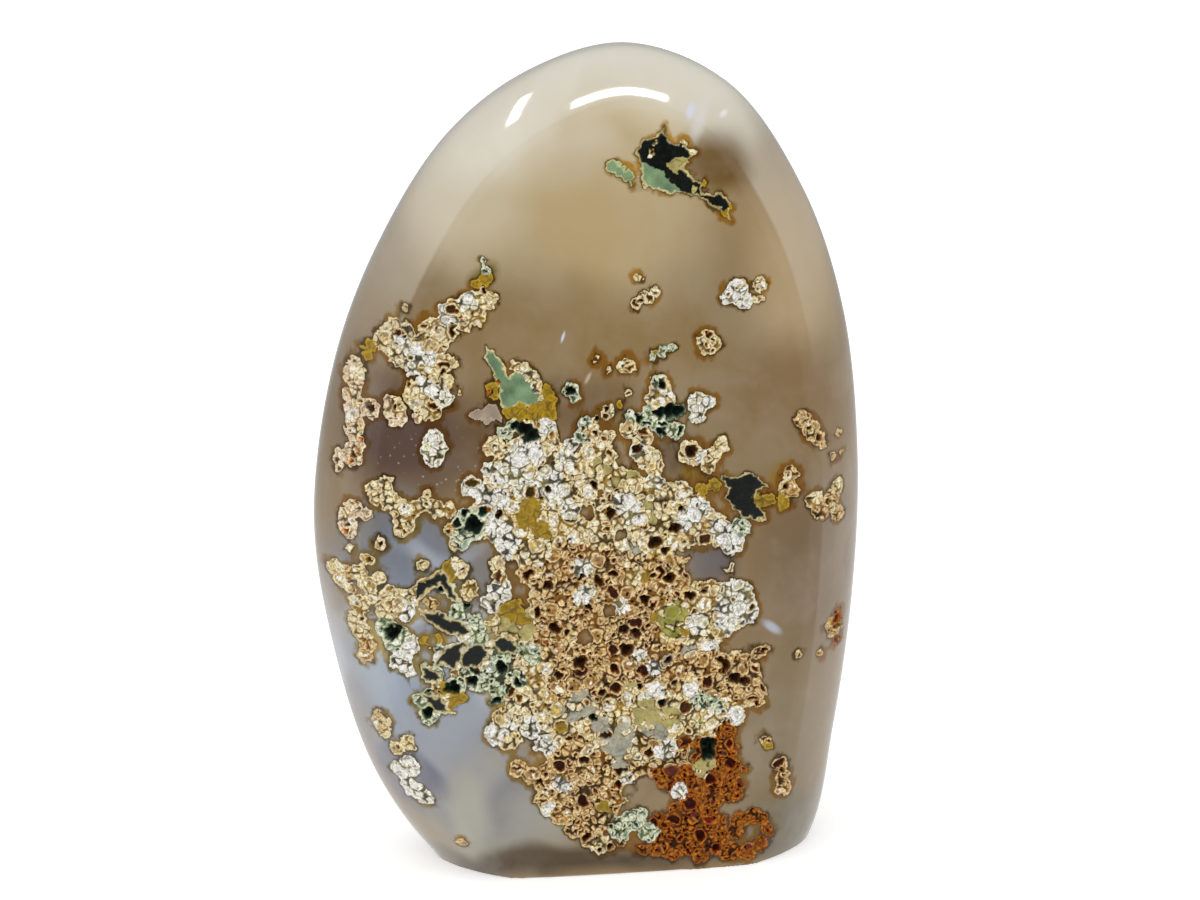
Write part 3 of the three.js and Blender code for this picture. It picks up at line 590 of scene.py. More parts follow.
class CrustField:
    """A fine chart of one face: where its crusts are, how deep, and in what colours.

    Attributes:
        step: Distance between the chart's points, in millimetres as all lengths here.
        corner: The chart's lowest x and z.
        points: The chart's points along x and z.
        border: How far beyond a crust the chart still knows its distance.
        far: A distance beyond any that counts.
        warps: Size and cell of each noise that makes the crusts' borders uneven.
        cell_warp: Share of that unevenness in the globules' rims.
        big_cell: Mean spacing of the big globules.
        big_radius: Their largest radius.
        big_share: Share of them that is drawn.
        small_cell: Mean spacing of the globules between them.
        small_radius: Their largest radius.
        fine_cell: Size of a crystal.
        pore_cell: Mean spacing of the pores.
        inlay_hold: Share of a spot's radius from which an inlay keeps its own grain.
        mixed_share: Lot above which a globule in a mixed patch is plain cream.
        plain_relief: Relief up to which a patch counts as cut flush.
        seam_width: Least width of the matrix between globules, and what noise adds.
        globule_rise: Height of a globule's crown over its rim.
        hole_depth: Depth of a deep hole, and what noise adds.
        most_depth: The deepest that anything goes.
        hole_trim: How much smaller a deep hole is than its spot.
        cave_growth: How much larger a green hole is.
        shard_edge: Width of the pale line round a shard.
        cave_floor: Colour of the floor of green holes: their own green, darkened as painted shade.
        hole_floor: Colour of the floor of brown holes: their own brown, darkened as painted shade.
        shard_line: Colour of the line round a shard.
    """

    step = 0.1
    corner = (-34.5, -1.0)
    points = (691, 1026)
    border = 1.6
    far = 9.0
    warps = ((0.5, 1.1), (0.42, 0.45), (0.22, 0.22))
    cell_warp = 0.6
    big_cell = 2.2
    big_radius = 1.0
    big_share = 0.6
    small_cell = 0.95
    small_radius = 0.62
    fine_cell = 0.42
    pore_cell = 0.7
    inlay_hold = 0.92
    mixed_share = 0.62
    plain_relief = 0.06
    seam_width = (0.01, 0.22)
    globule_rise = 0.26
    hole_depth = (1.1, 0.3)
    most_depth = 1.75
    hole_trim = 0.1
    cave_growth = 0.14
    shard_edge = 0.16
    cave_floor = "0c1812"
    hole_floor = "2c1808"
    shard_line = "d6c894"

    def __init__(self, shape: StoneShape, face: int, clusters: tuple[Cluster, ...], seed: int) -> None:
        """Chart a face's clusters.

        Args:
            shape: The stone's form.
            face: FRONT or BACK.
            clusters: The clusters, with their spots in millimetres on the x, z plane.
            seed: Seed of the face's noise.
        """
        self.shape, self.face, self.clusters = shape, face, clusters
        self.rng = np.random.default_rng(seed)
        self.low = np.array(self.corner)
        self.count = np.array(self.points)
        self.x, self.z = np.meshgrid(*(self.low[k] + self.step * np.arange(self.count[k]) for k in (0, 1)))
        size = self.x.shape
        self.mask = np.full(size, -self.border)
        self.nearest = np.full(size, self.far)
        self.grain = np.zeros(size, dtype=int)
        self.owner = np.full(size, -1)
        self.warp = [sum(amount * (self.noise(cell) - 0.5) for amount, cell in self.warps) for _ in range(2)]
        self.from_hole = np.full(size, self.border)
        self.cave = np.zeros(size, dtype=bool)
        self.from_shard = np.full(size, self.border)
        for index, cluster in enumerate(clusters):
            self.draw(index, cluster)
        self.compose()

    def noise(self, cell: float) -> np.ndarray:
        """Make smooth noise between 0 and 1 over the chart, with features of about one cell.

        Args:
            cell: The cell's size in millimetres.

        Returns:
            The noise at each point of the chart.
        """
        per = cell / self.step
        coarse = self.rng.random((int(self.count[1] / per) + 3, int(self.count[0] / per) + 3))
        parts = []
        for axis in (1, 0):
            place = np.arange(self.count[axis]) / per
            base = place.astype(int)
            share = place - base
            parts.append((base, share * share * (3 - 2 * share)))
        (row, down), (column, across) = parts
        top = coarse[row][:, column] * (1 - across) + coarse[row][:, column + 1] * across
        bottom = coarse[row + 1][:, column] * (1 - across) + coarse[row + 1][:, column + 1] * across
        return top * (1 - down[:, None]) + bottom * down[:, None]

    def cells(self, cell: float) -> tuple[np.ndarray, np.ndarray, np.ndarray, np.ndarray]:
        """Part the chart into rounded cells.

        Args:
            cell: The cells' mean size in millimetres.

        Returns:
            The distances to the nearest and second nearest seed, the cell's number, and the offset along x.
        """
        column = (self.x - self.low[0] + self.cell_warp * self.warp[0]) / cell
        row = (self.z - self.low[1] + self.cell_warp * self.warp[1]) / cell
        wide, high = int(column.max()) + 4, int(row.max()) + 4
        seeds = self.rng.random((2, high, wide)) * 0.86 + 0.07
        first, second = np.full(self.x.shape, self.far), np.full(self.x.shape, self.far)
        number = np.zeros(self.x.shape, dtype=int)
        side = np.zeros(self.x.shape)
        for across in (-1, 0, 1):
            for down in (-1, 0, 1):
                i = np.clip(np.floor(column).astype(int) + across, 0, wide - 1)
                j = np.clip(np.floor(row).astype(int) + down, 0, high - 1)
                away = column - i - seeds[0][j, i]
                distance = np.hypot(away, row - j - seeds[1][j, i])
                closer = distance < first
                second = np.where(closer, first, np.minimum(second, distance))
                number = np.where(closer, j * wide + i, number)
                side = np.where(closer, away, side)
                first = np.where(closer, distance, first)
        return first * cell, second * cell, number, side

    def draw(self, index: int, cluster: Cluster) -> None:
        """Draw a cluster's inlays, spots, windows and shards on the chart.

        Args:
            index: The cluster's number.
            cluster: The cluster, in millimetres.
        """
        grains = list(Grain)
        for inlay in cluster.inlays:
            part, distance = self.across(inlay.corners)
            self.mask[part] = np.maximum(self.mask[part], distance)
            self.grain[part] = np.where(distance > 0, grains.index(inlay.grain), self.grain[part])
            self.nearest[part] = np.where(distance > 0, self.inlay_hold, self.nearest[part])
            self.owner[part] = np.where(distance > -self.border, index, self.owner[part])
        for grain, spots in cluster.spots.items():
            for x, z, radius in spots:
                part, distance = self.around(x, z, radius)
                inside = radius - distance
                share = distance / radius
                closer = share < self.nearest[part]
                if grain is Grain.CAVE:
                    inside = inside + self.cave_growth
                if grain in (Grain.HOLE, Grain.CAVE):
                    closer &= self.mask[part] < 0
                    newer = -inside < self.from_hole[part]
                    self.cave[part] = np.where(newer, grain is Grain.CAVE, self.cave[part])
                    self.from_hole[part] = np.minimum(self.from_hole[part], -inside)
                self.grain[part] = np.where(closer, grains.index(grain), self.grain[part])
                self.owner[part] = np.where(inside > self.mask[part], index, self.owner[part])
                self.mask[part] = np.maximum(self.mask[part], inside)
                self.nearest[part] = np.minimum(self.nearest[part], share)
        for x, z, radius in cluster.windows:
            part, distance = self.around(x, z, radius)
            self.mask[part] = np.minimum(self.mask[part], distance - radius)
        for corners in cluster.shards:
            part, distance = self.across(corners)
            self.mask[part] = np.maximum(self.mask[part], distance + self.shard_edge)
            self.grain[part] = np.where(distance > 0, grains.index(Grain.SLATE), self.grain[part])
            self.from_shard[part] = np.minimum(self.from_shard[part], np.abs(distance - self.shard_edge / 2))
            self.from_hole[part] = np.where(distance > 0, self.border, self.from_hole[part])
            self.owner[part] = np.where(distance > -self.border, index, self.owner[part])

    def across(self, corners: tuple[tuple[float, float], ...]) -> tuple[tuple[slice, slice], np.ndarray]:
        """The part of the chart around an outline, and how far inside the outline each place is.

        Args:
            corners: The outline's corners in millimetres.

        Returns:
            The part's rows and columns, and the distances, negative outside.
        """
        loop = np.array(corners, dtype=float)
        part = self.window(loop.min(axis=0), loop.max(axis=0))
        x, z = self.x[part] + self.warp[0][part], self.z[part] + self.warp[1][part]
        return part, loop_distance(loop, x.ravel(), z.ravel())[0].reshape(x.shape)

    def window(self, low: np.ndarray, high: np.ndarray) -> tuple[slice, slice]:
        """The rows and columns of the chart around a box.

        Args:
            low: The box's lowest x and z.
            high: Its highest x and z.

        Returns:
            The rows and the columns, wider than the box by the border.
        """
        first = np.maximum(((low - self.border - self.low) / self.step).astype(int), 0)
        last = np.minimum(((high + self.border - self.low) / self.step).astype(int) + 2, self.count)
        return slice(first[1], last[1]), slice(first[0], last[0])

    def around(self, x: float, z: float, radius: float) -> tuple[tuple[slice, slice], np.ndarray]:
        """The part of the chart around a spot, and its distances from the spot's uneven centre.

        Args:
            x: The spot's x.
            z: The spot's z.
            radius: Its radius.

        Returns:
            The part's rows and columns, and the distances.
        """
        centre = np.array([x, z])
        part = self.window(centre - radius, centre + radius)
        return part, np.hypot(self.x[part] + self.warp[0][part] - x, self.z[part] + self.warp[1][part] - z)

    def compose(self) -> None:
        """Work out depth, colour and polish from the drawn grains."""
        edge, number = self.globules()
        lot = self.rng.random(number.max() + 1)[number]
        size = self.rng.random(number.max() + 1)[number]
        grains = list(Grain)
        mixed = np.isin(self.grain, [grains.index(grain) for grain in MIXED_GRAINS])
        self.grain = np.where(mixed & (size > self.mixed_share), grains.index(Grain.CREAM), self.grain)
        looks = [LOOKS[grain] for grain in grains]
        value = {key: np.array([getattr(look, key) for look in looks])[self.grain]
                 for key in ("open_share", "crystal_share", "depth", "sink", "relief", "polish")}
        colour = {key: np.array([linear(getattr(look, key)) for look in looks])[self.grain]
                  for key in ("seam", "wall", "face", "crystal", "pit")}
        fine_first, fine_second, fine_number, tilt = self.cells(self.fine_cell)
        fine_lot = self.rng.random(fine_number.max() + 1)[fine_number]
        fine_slope = self.rng.random(fine_number.max() + 1)[fine_number] * 2 - 1
        small_first, _, small_number, _ = self.cells(self.pore_cell)
        small_lot = self.rng.random(small_number.max() + 1)[small_number]

        # Globules: the matrix between them, their walls, open cups, pores and crystals
        lively = smoothstep(value["relief"], 0.0, 0.08)
        inward = smoothstep(self.mask, 0.14, 0.24)
        width = self.seam_width[0] + self.seam_width[1] * smoothstep(self.noise(0.9), 0.35, 0.9)
        seam = (1 - smoothstep(edge, width * 0.3, width + 0.04)) * inward * lively
        ring = smoothstep(edge, width * 0.5, width + 0.04)
        ring = ring * (1 - smoothstep(edge, width + 0.11, width + 0.26)) * lively
        inner = smoothstep(edge, width + 0.08, width + 0.18)
        opened = (lot < value["open_share"]) * inner
        bright = (lot > 1 - value["crystal_share"]) * inner
        bowl = smoothstep(edge - width, 0.06 + 0.1 * size, 0.34 + 0.2 * size)
        pore = (small_lot < 0.7 * value["open_share"]) * (1 - smoothstep(small_first, 0.10, 0.2))
        pore *= smoothstep(self.mask, 0.15, 0.3) * (value["relief"] > self.plain_relief)
        spark = (fine_lot > 1 - value["crystal_share"] * (0.35 + 0.9 * bright)) * inward * (1 - 0.8 * opened)
        rough = np.clip(0.5 + 0.9 * fine_slope * tilt + 0.6 * (fine_lot - 0.5), 0, 1.2) * value["relief"]

        # Depth below the polish, which fades out at the crust's border
        rim = smoothstep(self.mask, 0.06, 0.2)
        hole = smoothstep(-self.from_hole - self.hole_trim, -0.02, 0.3)
        depth = value["sink"] * (1 + self.noise(0.9)) + rough * (0.3 + 0.5 * opened)
        depth += lively * (self.globule_rise - self.globule_rise * smoothstep(edge, -0.25, 0.4))
        depth += opened * bowl * value["depth"] * (0.35 + 0.75 * size)
        depth = np.maximum(depth * (1 - 0.5 * ring), pore * 0.45) * rim
        least, more = self.hole_depth
        self.depth = np.clip(depth + hole * (least + more * self.noise(0.5)), 0, self.most_depth)

        # Colour of the plain faces, a little warmer or cooler from place to place
        shift = self.noise(2.4) - 0.5
        ground = 0.55 + 0.9 * self.noise(0.35) * lively + 0.9 * self.noise(1.1) * (1 - lively)
        tint = colour["face"] * ground[..., None] * (1 + 0.3 * (fine_lot - 0.5) * lively)[..., None]
        tint *= 1 + np.stack([0.1 * shift, 0 * shift, -0.8 * shift], axis=-1) * lively[..., None]
        # Painted shade: dark lines in the gaps between the fine crystals
        gap = 1 - smoothstep(fine_second - fine_first, 0.0, 0.1)
        gap = gap * smoothstep(self.noise(0.7), 0.3, 0.55) * inner

        # Crystals, painted shade in the gaps between them, matrix, walls, and cups and pores darkened by
        # painted shade from the rim down
        tint = self.blend(tint, colour["crystal"] * (0.7 + 0.5 * self.noise(0.3))[..., None], spark * lively)
        tint = self.blend(tint, colour["seam"] * 0.3, gap * 0.5 * lively)
        crevice = 1.25 - 1.05 * smoothstep(self.noise(1.3), 0.32, 0.62)
        crevice = crevice * (0.6 + 0.8 * self.noise(0.3))
        tint = self.blend(tint, colour["seam"] * crevice[..., None], seam * 0.92)
        tint = self.blend(tint, colour["wall"] * (0.72 + 0.6 * self.noise(0.3))[..., None], ring * 0.85)
        # Painted shade: open cups darken from the rim to the floor, and pores are painted dark
        shade = smoothstep(opened * bowl, 0.05, 0.95)[..., None]
        tint = self.blend(tint, colour["pit"] * (1 + 7 * (1 - shade)), smoothstep(opened * bowl, 0.0, 0.3))
        tint = self.blend(tint, colour["pit"] * 1.6, pore * 0.9)

        # Deep holes with their lips and their floors darkened by painted shade, and the pale lines round
        # shards and along the crust's border
        floor = np.where(self.cave[..., None], linear(self.cave_floor), linear(self.hole_floor))
        deep = smoothstep(-self.from_hole - self.hole_trim, 0.0, 0.6)[..., None]
        lip = np.exp(-((self.from_hole + self.hole_trim - 0.12) / 0.1) ** 2) * self.noise(0.6)
        tint = self.blend(tint, colour["wall"] * 1.1, 1.2 * np.clip(lip, 0, 0.8) * lively)
        tint = self.blend(tint, floor * (1 + 8 * (1 - deep)), smoothstep(hole, 0.0, 0.5))
        tint = self.blend(tint, linear(self.shard_line), 0.9 * np.exp(-(self.from_shard / 0.13) ** 2))
        line = np.exp(-((self.mask - 0.12) / 0.1) ** 2) * (0.45 + 0.55 * self.noise(0.7))
        tint = self.blend(tint, colour["wall"] * 1.05, line)
        self.tint = np.clip(tint, 0, 1)
        self.polish = np.clip(np.maximum(value["polish"], 0.6 * (1 - rim)) - 3 * self.depth, 0, 1)
        self.ground = 1.0 * (value["relief"] > self.plain_relief)
        self.slope = np.gradient(self.mask, self.step)

    def globules(self) -> tuple[np.ndarray, np.ndarray]:
        """Part the chart into big round globules, with smaller ones between them.

        Returns:
            How far each place is in from its globule's rim, and the globule's number.
        """
        first, second, number, _ = self.cells(self.big_cell)
        big = np.minimum((second - first) / 2, self.big_radius - first)
        drawn = self.rng.random(number.max() + 1)[number] < self.big_share
        small_first, small_second, small_number, _ = self.cells(self.small_cell)
        small = np.minimum((small_second - small_first) / 2, self.small_radius - small_first)
        small = np.minimum(small, np.where(drawn, -big, self.border))
        inside = drawn & (big > 0)
        edge = np.where(inside, big, small)
        edge = np.minimum(edge, np.maximum(self.mask, 0))
        edge = np.minimum(edge, np.maximum(self.from_hole + self.hole_trim, 0))
        return edge, np.where(inside, number + small_number.max() + 1, small_number)

    @staticmethod
    def blend(base: np.ndarray, top: np.ndarray, share: np.ndarray) -> np.ndarray:
        """Lay one colour over another."""
        return base + (top - base) * share[..., None]

    def sample(self, chart: np.ndarray, x: np.ndarray, z: np.ndarray) -> np.ndarray:
        """Read a chart between its points.

        Args:
            chart: The values, one or more at each point.
            x: The points' x in millimetres.
            z: The points' z in millimetres.

        Returns:
            The values at the places.
        """
        column = np.clip((x - self.low[0]) / self.step, 0, self.count[0] - 1.001)
        row = np.clip((z - self.low[1]) / self.step, 0, self.count[1] - 1.001)
        i, j = column.astype(int), row.astype(int)
        across, down = column - i, row - j
        if chart.ndim == 3:
            across, down = across[:, None], down[:, None]
        top = chart[j, i] * (1 - across) + chart[j, i + 1] * across
        bottom = chart[j + 1, i] * (1 - across) + chart[j + 1, i + 1] * across
        return top * (1 - down) + bottom * down

    def owner_at(self, x: np.ndarray, z: np.ndarray) -> np.ndarray:
        """The number of the cluster at each point.

        Args:
            x: The points' x in millimetres.
            z: The points' z in millimetres.

        Returns:
            The numbers, -1 where there is none.
        """
        column = np.clip(np.rint((x - self.low[0]) / self.step).astype(int), 0, self.count[0] - 1)
        row = np.clip(np.rint((z - self.low[1]) / self.step).astype(int), 0, self.count[1] - 1)
        return self.owner[row, column]

    def snap(self, x: np.ndarray, z: np.ndarray, reach: float) -> tuple[np.ndarray, np.ndarray]:
        """Slide the points that are within reach of a crust's border onto it.

        Args:
            x: The points' x in millimetres.
            z: The points' z in millimetres.
            reach: The reach, which is also the most that one pass moves a point.

        Returns:
            The new x and z.
        """
        near = np.abs(self.sample(self.mask, x, z)) < reach
        x, z = x.copy(), z.copy()
        passes = 3
        least_slope = 0.3
        for _ in range(passes):
            value = self.sample(self.mask, x[near], z[near])
            down, across = (self.sample(part, x[near], z[near]) for part in self.slope)
            steep = np.maximum(across ** 2 + down ** 2, least_slope)
            x[near] -= np.clip(value * across / steep, -reach, reach)
            z[near] -= np.clip(value * down / steep, -reach, reach)
        return x, z


def deselect_all() -> None:
    """Deselect every object."""
    bpy.ops.object.select_all(action="DESELECT")


def coordinates(mesh: bpy.types.Mesh) -> np.ndarray:
    """Read a mesh's vertices as rows of x, y and z.

    Args:
        mesh: The mesh.

    Returns:
        The rows.
    """
    flat = np.empty(len(mesh.vertices) * 3)
    mesh.vertices.foreach_get("co", flat)
    return flat.reshape(-1, 3)


def place_vertices(mesh: bpy.types.Mesh, places: np.ndarray) -> None:
    """Move a mesh's vertices."""
    mesh.vertices.foreach_set("co", places.ravel())
    mesh.update()


def face_centres(mesh: bpy.types.Mesh) -> np.ndarray:
    """Read the centres of a mesh's faces.

    Args:
        mesh: The mesh.

    Returns:
        Rows of x, y and z.
    """
    flat = np.empty(len(mesh.polygons) * 3)
    mesh.polygons.foreach_get("center", flat)
    return flat.reshape(-1, 3)


def select_faces(mesh: bpy.types.Mesh, chosen: np.ndarray) -> None:
    """Select some faces, with their edges and corners, and nothing else, in object mode.

    Args:
        mesh: The mesh.
        chosen: One flag for each face.
    """
    mesh.vertices.foreach_set("select", np.zeros(len(mesh.vertices), dtype=bool))
    mesh.edges.foreach_set("select", np.zeros(len(mesh.edges), dtype=bool))
    mesh.polygons.foreach_set("select", chosen)


def selected_vertices(mesh: bpy.types.Mesh) -> np.ndarray:
    """Read which vertices are selected.

    Args:
        mesh: The mesh.

    Returns:
        One flag for each vertex.
    """
    flags = np.zeros(len(mesh.vertices), dtype=bool)
    mesh.vertices.foreach_get("select", flags)
    return flags


def edit(mode: str = "FACE") -> None:
    """Enter edit mode and select by faces, edges or vertices."""
    bpy.ops.object.mode_set(mode="EDIT")
    bpy.ops.mesh.select_mode(type=mode)


def leave_edit() -> None:
    """Go back to object mode."""
    bpy.ops.object.mode_set(mode="OBJECT")


def select_boundary() -> None:
    """Select the open edges of the mesh in edit mode."""
    bpy.ops.mesh.select_all(action="DESELECT")
    bpy.ops.mesh.select_non_manifold(extend=False, use_wire=False, use_boundary=True, use_multi_face=False,
                                     use_non_contiguous=False, use_verts=False)


def turn_outwards() -> None:
    """Make the active object's faces point outwards."""
    edit("FACE")
    bpy.ops.mesh.select_all(action="SELECT")
    bpy.ops.mesh.normals_make_consistent(inside=False)
    leave_edit()


class AgateStone:
    """The polished agate, with open hollows where its crusts sit."""

    name = "agate_body"
    steps = 240
    insets = (0, 0.15, 0.45, 0.9, 1.5, 2.2, 3, 3.8, 4.6, 5.4, 6.11, 6.5, 6.9, 7.3, 7.8, 8.4, 9.2, 10)
    base_round = 0.35
    base_insets = ((0.1, 0.22), (0.28, 0.13))
    smooth_angle = math.radians(32)
    hollow_depth = 3.2
    far = 2.0
    reaches = (1.1, 0.45, 0.13)
    snap_reach = 0.1

    def __init__(self, shape: StoneShape, charts: tuple[CrustField, CrustField]) -> None:
        """Keep the stone's form and the charts of its two faces."""
        self.shape, self.charts = shape, charts

    def build(self) -> bpy.types.Object:
        """Model the stone.

        Returns:
            The finished object, riding on its body.
        """
        deselect_all()
        rings = 2 * len(self.insets) + 2
        bpy.ops.mesh.primitive_uv_sphere_add(segments=self.steps, ring_count=rings, radius=1,
                                             rotation=(math.pi / 2, 0, 0))
        stone = bpy.context.active_object
        stone.name = stone.data.name = self.name
        bpy.ops.object.transform_apply(location=False, rotation=True, scale=False)
        self.open_poles(stone, rings)
        self.set_rings(stone, rings)
        self.fill_faces(stone)
        self.cut_base(stone)
        for reach in self.reaches:
            self.refine(stone, reach)
        self.sink_hollows(stone)
        bpy.ops.object.shade_smooth_by_angle(angle=self.smooth_angle)
        self.store_attributes(stone)
        return stone

    def open_poles(self, stone: bpy.types.Object, rings: int) -> None:
        """Take the fans at the poles off, so that each face can be filled with squares.

        Args:
            stone: The stone's object.
            rings: The number of the sphere's rings.
        """
        away = np.abs(coordinates(stone.data)[:, 1])
        pole = away > math.cos(0.5 * math.pi / rings)
        select_faces(stone.data, np.zeros(len(stone.data.polygons), dtype=bool))
        stone.data.vertices.foreach_set("select", pole)
        edit("VERT")
        bpy.ops.mesh.delete(type="VERT")
        leave_edit()

    def set_rings(self, stone: bpy.types.Object, rings: int) -> None:
        """Move each ring of the sphere to its inset from the outline.

        Args:
            stone: The stone's object.
            rings: The number of the sphere's rings.
        """
        places = coordinates(stone.data)
        ring = np.rint(np.arccos(np.clip(-places[:, 1], -1, 1)) / (math.pi / rings)).astype(int)
        turn = np.arctan2(places[:, 2], places[:, 0])
        step = np.rint(turn / (2 * math.pi / self.steps)).astype(int) % self.steps
        every = self.shape.outline_steps // self.steps
        outline = self.shape.outline
        ahead = np.roll(outline, -1, axis=0) - np.roll(outline, 1, axis=0)
        ahead /= np.linalg.norm(ahead, axis=1, keepdims=True)
        inward = np.stack([-ahead[:, 1], ahead[:, 0]], axis=1)
        from_girdle = np.abs(ring - rings // 2)
        insets = np.array((0,) + self.insets)[from_girdle]
        chosen = step * every
        flat = outline[chosen] + inward[chosen] * insets[:, None]
        fade = smoothstep(insets, 0, self.shape.dome_fade)
        half = self.shape.wall(insets) + self.shape.dome(flat[:, 0], flat[:, 1]) * fade
        half = np.where(from_girdle == 0, 0, half)
        side = np.where(ring < rings // 2, FRONT, BACK)
        place_vertices(stone.data, np.stack([flat[:, 0], side * half, flat[:, 1]], axis=1) * MM)

    def fill_faces(self, stone: bpy.types.Object) -> None:
        """Fill the opening in each face with squares laid on the dome.

        Args:
            stone: The stone's object.
        """
        for face in (FRONT, BACK):
            places = coordinates(stone.data)
            edit("EDGE")
            select_boundary()
            leave_edit()
            mesh = stone.data
            ends = np.empty(len(mesh.edges) * 2, dtype=int)
            mesh.edges.foreach_get("vertices", ends)
            chosen = np.empty(len(mesh.edges), dtype=bool)
            mesh.edges.foreach_get("select", chosen)
            chosen &= (places[ends.reshape(-1, 2)][:, :, 1] * face > 0).all(axis=1)
            select_faces(mesh, np.zeros(len(mesh.polygons), dtype=bool))
            mesh.edges.foreach_set("select", chosen)
            edit("EDGE")
            bpy.ops.mesh.fill_grid(span=self.steps // 4)
            leave_edit()
            self.settle(stone, ~np.isin(np.arange(len(mesh.vertices)), np.arange(len(places))))
        turn_outwards()

    def settle(self, stone: bpy.types.Object, chosen: np.ndarray) -> None:
        """Lay the chosen vertices on the polished surface.

        Args:
            stone: The stone's object.
            chosen: One flag for each vertex.
        """
        places = coordinates(stone.data)
        for face in (FRONT, BACK):
            part = chosen & (places[:, 1] * face > self.shape.girdle_half * MM)
            x, z = places[part][:, 0] / MM, places[part][:, 2] / MM
            places[part, 1] = self.shape.surface(x, z, face)[0] * MM
        place_vertices(stone.data, places)

    def cut_base(self, stone: bpy.types.Object) -> None:
        """Saw the base flat and break its edge a little.

        Args:
            stone: The stone's object.
        """
        edit("FACE")
        bpy.ops.mesh.select_all(action="SELECT")
        bpy.ops.mesh.bisect(plane_co=(0, 0, self.base_round * MM), plane_no=(0, 0, 1), use_fill=True,
                            clear_inner=True)
        for thickness, depth in self.base_insets:
            bpy.ops.mesh.inset(thickness=thickness * MM, depth=depth * MM)
        leave_edit()
        places = coordinates(stone.data)
        places[selected_vertices(stone.data), 2] = 0
        place_vertices(stone.data, places)

    def refine(self, stone: bpy.types.Object, reach: float) -> None:
        """Halve the faces near a crust's border.

        Args:
            stone: The stone's object.
            reach: How near a face's centre is, in millimetres.
        """
        centres = face_centres(stone.data) / MM
        chosen = np.zeros(len(centres), dtype=bool)
        for chart in self.charts:
            distance = np.abs(chart.sample(chart.mask, centres[:, 0], centres[:, 2]))
            facing = centres[:, 1] * chart.face > self.shape.girdle_half
            chosen |= facing & (distance < reach)
        select_faces(stone.data, chosen)
        before = len(stone.data.vertices)
        edit("FACE")
        bpy.ops.mesh.subdivide(number_cuts=1, ngon=False, quadcorner="INNERVERT")
        leave_edit()
        self.settle(stone, np.arange(len(stone.data.vertices)) >= before)
        LOG.info("%s: %d faces after halving within %.2f mm", self.name, len(stone.data.polygons), reach)

    def sink_hollows(self, stone: bpy.types.Object) -> None:
        """Slide vertices onto the crusts' borders, and push what is inside them into the stone.

        Args:
            stone: The stone's object.
        """
        mesh = stone.data
        places = coordinates(mesh)
        for chart in self.charts:
            part = places[:, 1] * chart.face > self.shape.girdle_half * MM
            x, z = chart.snap(places[part, 0] / MM, places[part, 2] / MM, self.snap_reach)
            places[part, 0], places[part, 2] = x * MM, z * MM
        place_vertices(mesh, places)
        self.settle(stone, places[:, 2] > 1.2 * self.base_round * MM)
        centres = face_centres(mesh) / MM
        chosen = np.zeros(len(centres), dtype=bool)
        for chart in self.charts:
            inside = chart.sample(chart.mask, centres[:, 0], centres[:, 2]) > 0
            chosen |= inside & (centres[:, 1] * chart.face > self.shape.girdle_half)
        select_faces(mesh, chosen)
        edit("FACE")
        bpy.ops.mesh.extrude_region_move()
        leave_edit()
        sunk = selected_vertices(mesh)
        places = coordinates(mesh)
        for chart in self.charts:
            part = sunk & (places[:, 1] * chart.face > 0)
            normal = self.shape.surface(places[part, 0] / MM, places[part, 2] / MM, chart.face)[1]
            places[part] -= normal * self.hollow_depth * MM
        place_vertices(mesh, places)

    def store_attributes(self, stone: bpy.types.Object) -> None:
        """Store how far each vertex is from a crust and from the outline, in millimetres.

        Args:
            stone: The stone's object.
        """
        mesh = stone.data
        places = coordinates(mesh) / MM
        from_crust = np.full(len(places), self.far)
        for chart in self.charts:
            part = places[:, 1] * chart.face > self.shape.girdle_half
            value = -chart.sample(chart.mask, places[part, 0], places[part, 2])
            from_crust[part] = np.clip(value, 0, self.far)
        inset = self.shape.surface(places[:, 0], places[:, 2], FRONT)[2]
        for name, values in (("from_crust", from_crust), ("inset", inset)):
            mesh.attributes.new(name, "FLOAT", "POINT").data.foreach_set("value", values)


